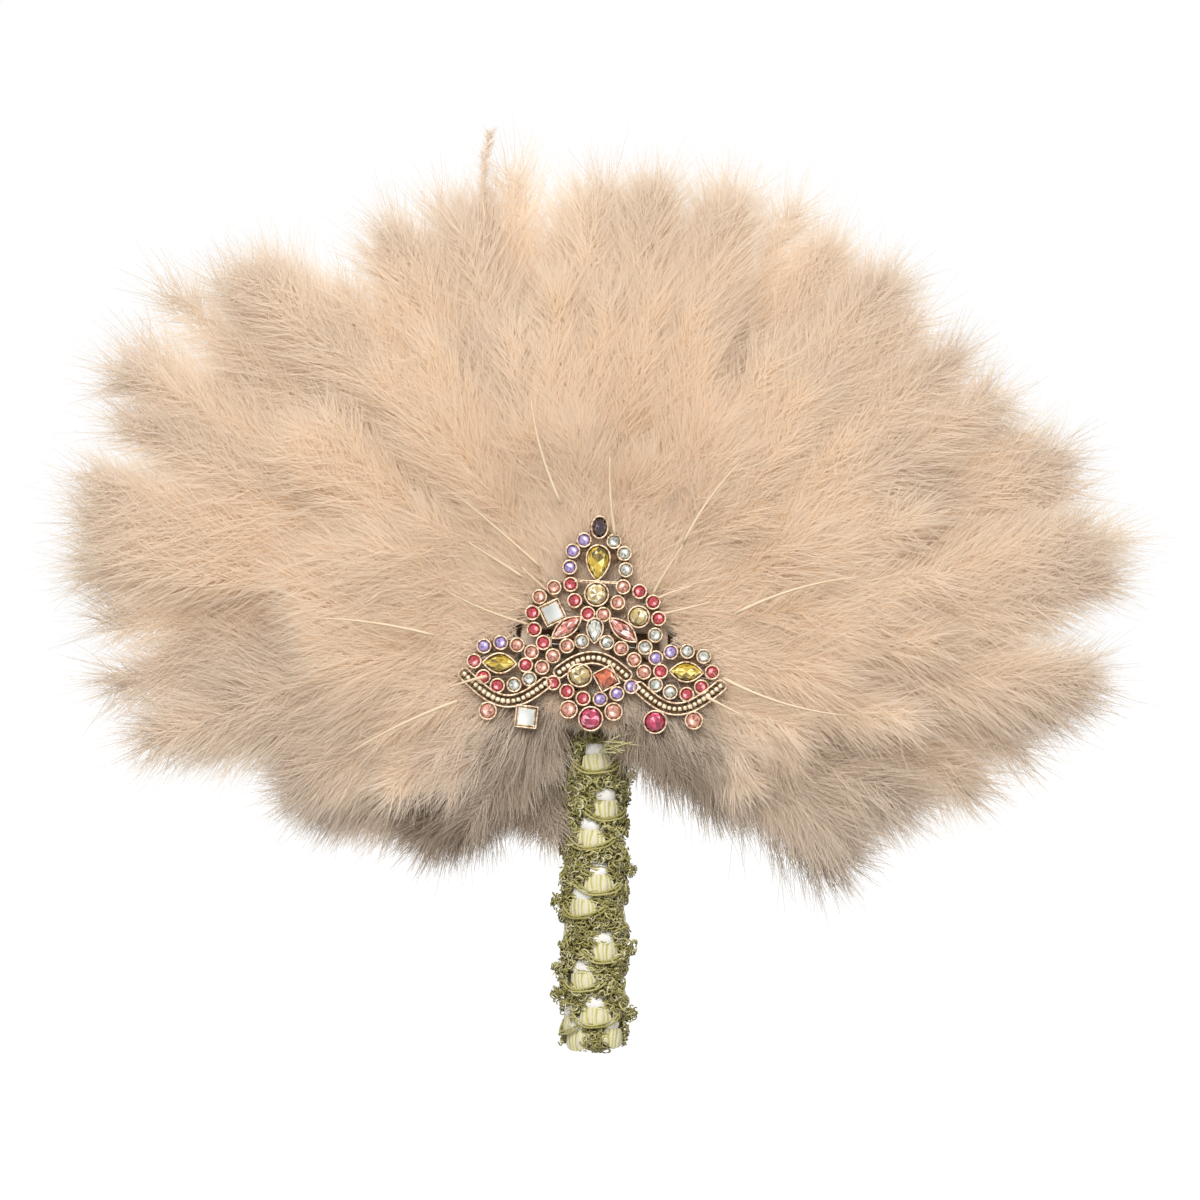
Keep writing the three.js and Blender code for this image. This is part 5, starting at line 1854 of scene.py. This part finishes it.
def steel_material():
    paint = Paint("steel")
    drawn = paint.noise(2500.0, 3.0, 0.0, (0.1, 1.0, 1.0))
    return paint.coated({
        "Base Color": drawn.ramp([(0.3, (0.46, 0.46, 0.47)), (0.7, (0.66, 0.66, 0.67))]),
        "Metallic": 1.0,
        "Roughness": 0.22 + drawn * 0.2,
    })


board_wood = wood_material("board_wood", (0.12, 1.0, 1.0))
steel = steel_material()
DRESSED = {
    "handle_dowel": wood_material("dowel_wood", (1.0, 1.0, 0.12)),
    "front_board": board_wood, "back_board": board_wood,
    "pin_stem": steel, "pin_hinge_rivet": steel,
    "pin_hinge_bracket": gilt, "catch_barrel": gilt, "catch_roller": gilt,
}
for name, material in DRESSED.items():
    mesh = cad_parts[name].data
    mesh.materials.clear()
    mesh.materials.append(material)
print("wood and metal on", len(DRESSED), "CAD nodes")

# %% [markdown]
# Felt has no sharp edge and no weave: its surface is matted wool. Each pad starts from its CAD node,
# is rebuilt in small cells so that its edges round off, and is roughened by a fine noise.

# %% Felt pads
FELT_CELL = 0.75
FELT_RUFFLE = 0.12
RUFFLE_SIZE = 2.5 * MM


def felt_material(name, dark, light):
    paint = Paint(name)
    wool = paint.noise(700.0, 6.0, 1.5)
    return paint.coated({
        "Base Color": wool.ramp([(0.3, dark), (0.7, light)]),
        "Roughness": 0.85 + wool * 0.1,
        "Normal": paint.bump(wool, 0.6, 0.4),
        "Sheen Weight": 0.25,
    })


def softened(name, node_name, cell, ruffle, material):
    """A CAD node's form with rounded edges and a slightly uneven surface; sizes in millimetres."""
    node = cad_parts[node_name]
    place = node.matrix_world.copy()
    host = linked(name + "_host", node.data.copy())
    host.matrix_world = place
    rebuilt = host.modifiers.new("cells", "REMESH")
    rebuilt.mode = "VOXEL"
    rebuilt.voxel_size = cell * MM
    rounded = host.modifiers.new("rounded", "SMOOTH")
    rounded.factor = 0.5
    rounded.iterations = 3
    mesh = evaluated_mesh(host, name)
    mesh.transform(place)
    for corner in mesh.vertices:
        corner.co += corner.normal * noise.noise(corner.co / RUFFLE_SIZE) * ruffle * MM
    mesh.shade_smooth()
    return piece_of(name, mesh, material)


felt = felt_material("felt", (0.62, 0.47, 0.35), (0.82, 0.67, 0.53))
for side in ("front", "back"):
    pad = softened(side + "_felt", side + "_pad", FELT_CELL, FELT_RUFFLE, felt)
    on_fan(pad, "felt", side + "_pad")
print("felt pads made")

# %% [markdown]
# The back pad is sewn round its edge: Geometry Nodes space short stitches of thread along a circle. The
# strap that the brooch's pin passes behind is a bit of ribbed ribbon, sewn down at both ends.

# %% Stitches and the pin's strap
STITCH_CIRCLE = 21.5 * MM
CIRCLE_POINTS = 90
STITCH_COUNT = 30
STITCH_LENGTH = 3.0
STITCH_POINTS = 7
THREAD_RADIUS = 0.28
THREAD_SIDES = 8
STRAP_CELL = 0.3
STRAP_RUFFLE = 0.04


def stitch_tree():
    grow = Growth("stitches", {"Count": "Int", "Length": "Float", "Thread": "Float"})
    sockets = {"Curve": grow.curves(grow.given["Geometry"]), "Count": grow.given["Count"]}
    places = grow.geo("CurveToPoints", sockets, mode="COUNT")
    half = grow.given["Length"] * 0.5
    sockets = {"Start": grow.combined(0.0, 0.0, half * -1), "End": grow.combined(0.0, 0.0, half)}
    stitch = grow.geo("CurvePrimitiveLine", sockets, mode="POINTS")
    stitch = grow.geo("ResampleCurve", {"Curve": stitch, "Count": STITCH_POINTS}, mode="COUNT")
    run = grow.geo("SplineParameter")["Factor"] * 2 - 1
    stitch = grow.store(stitch, "thick", (1 - run * run * run * run * 0.8) * grow.given["Thread"])
    thread = grow.smooth(grow.tubes(stitch, THREAD_SIDES, grow.named("thick")))
    return grow.finish(grow.geo("InstanceOnPoints", {
        "Points": places, "Instance": thread, "Rotation": places["Rotation"],
    }))


def ribbon_material():
    """Ribbed ribbon: fine ribs across it and a slight change of shade along it."""
    paint = Paint("ribbon")
    soft = paint.noise(300.0, 3.0)
    return paint.coated({
        "Base Color": soft.ramp([(0.3, (0.66, 0.50, 0.37)), (0.7, (0.82, 0.67, 0.53))]),
        "Roughness": 0.4 + soft * 0.15,
        "Normal": paint.bump(paint.threads(350.0), 0.5, 0.2),
        "Sheen Weight": 0.2,
    })


ribbon = ribbon_material()
back_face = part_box("back_pad")[1][1] + 0.1 * MM
x, z = circle_points(CIRCLE_POINTS)[1].T * STITCH_CIRCLE
sewn = np.stack([x, np.full(CIRCLE_POINTS, back_face), z + HUB.z], 1)
sewn = mesh_of("stitch_circle", sewn, chain(0, CIRCLE_POINTS, True))
stitches = grown("pad_stitches", sewn, stitch_tree(), {
    "Count": STITCH_COUNT, "Length": STITCH_LENGTH * MM, "Thread": THREAD_RADIUS * MM, "Material": ribbon,
})
on_fan(stitches, "felt", "back_pad")
strap = softened("strap_ribbon", "pin_strap", STRAP_CELL, STRAP_RUFFLE, ribbon)
on_fan(strap, "satin", "pin_strap")
print("stitches:", STITCH_COUNT, "and a strap")
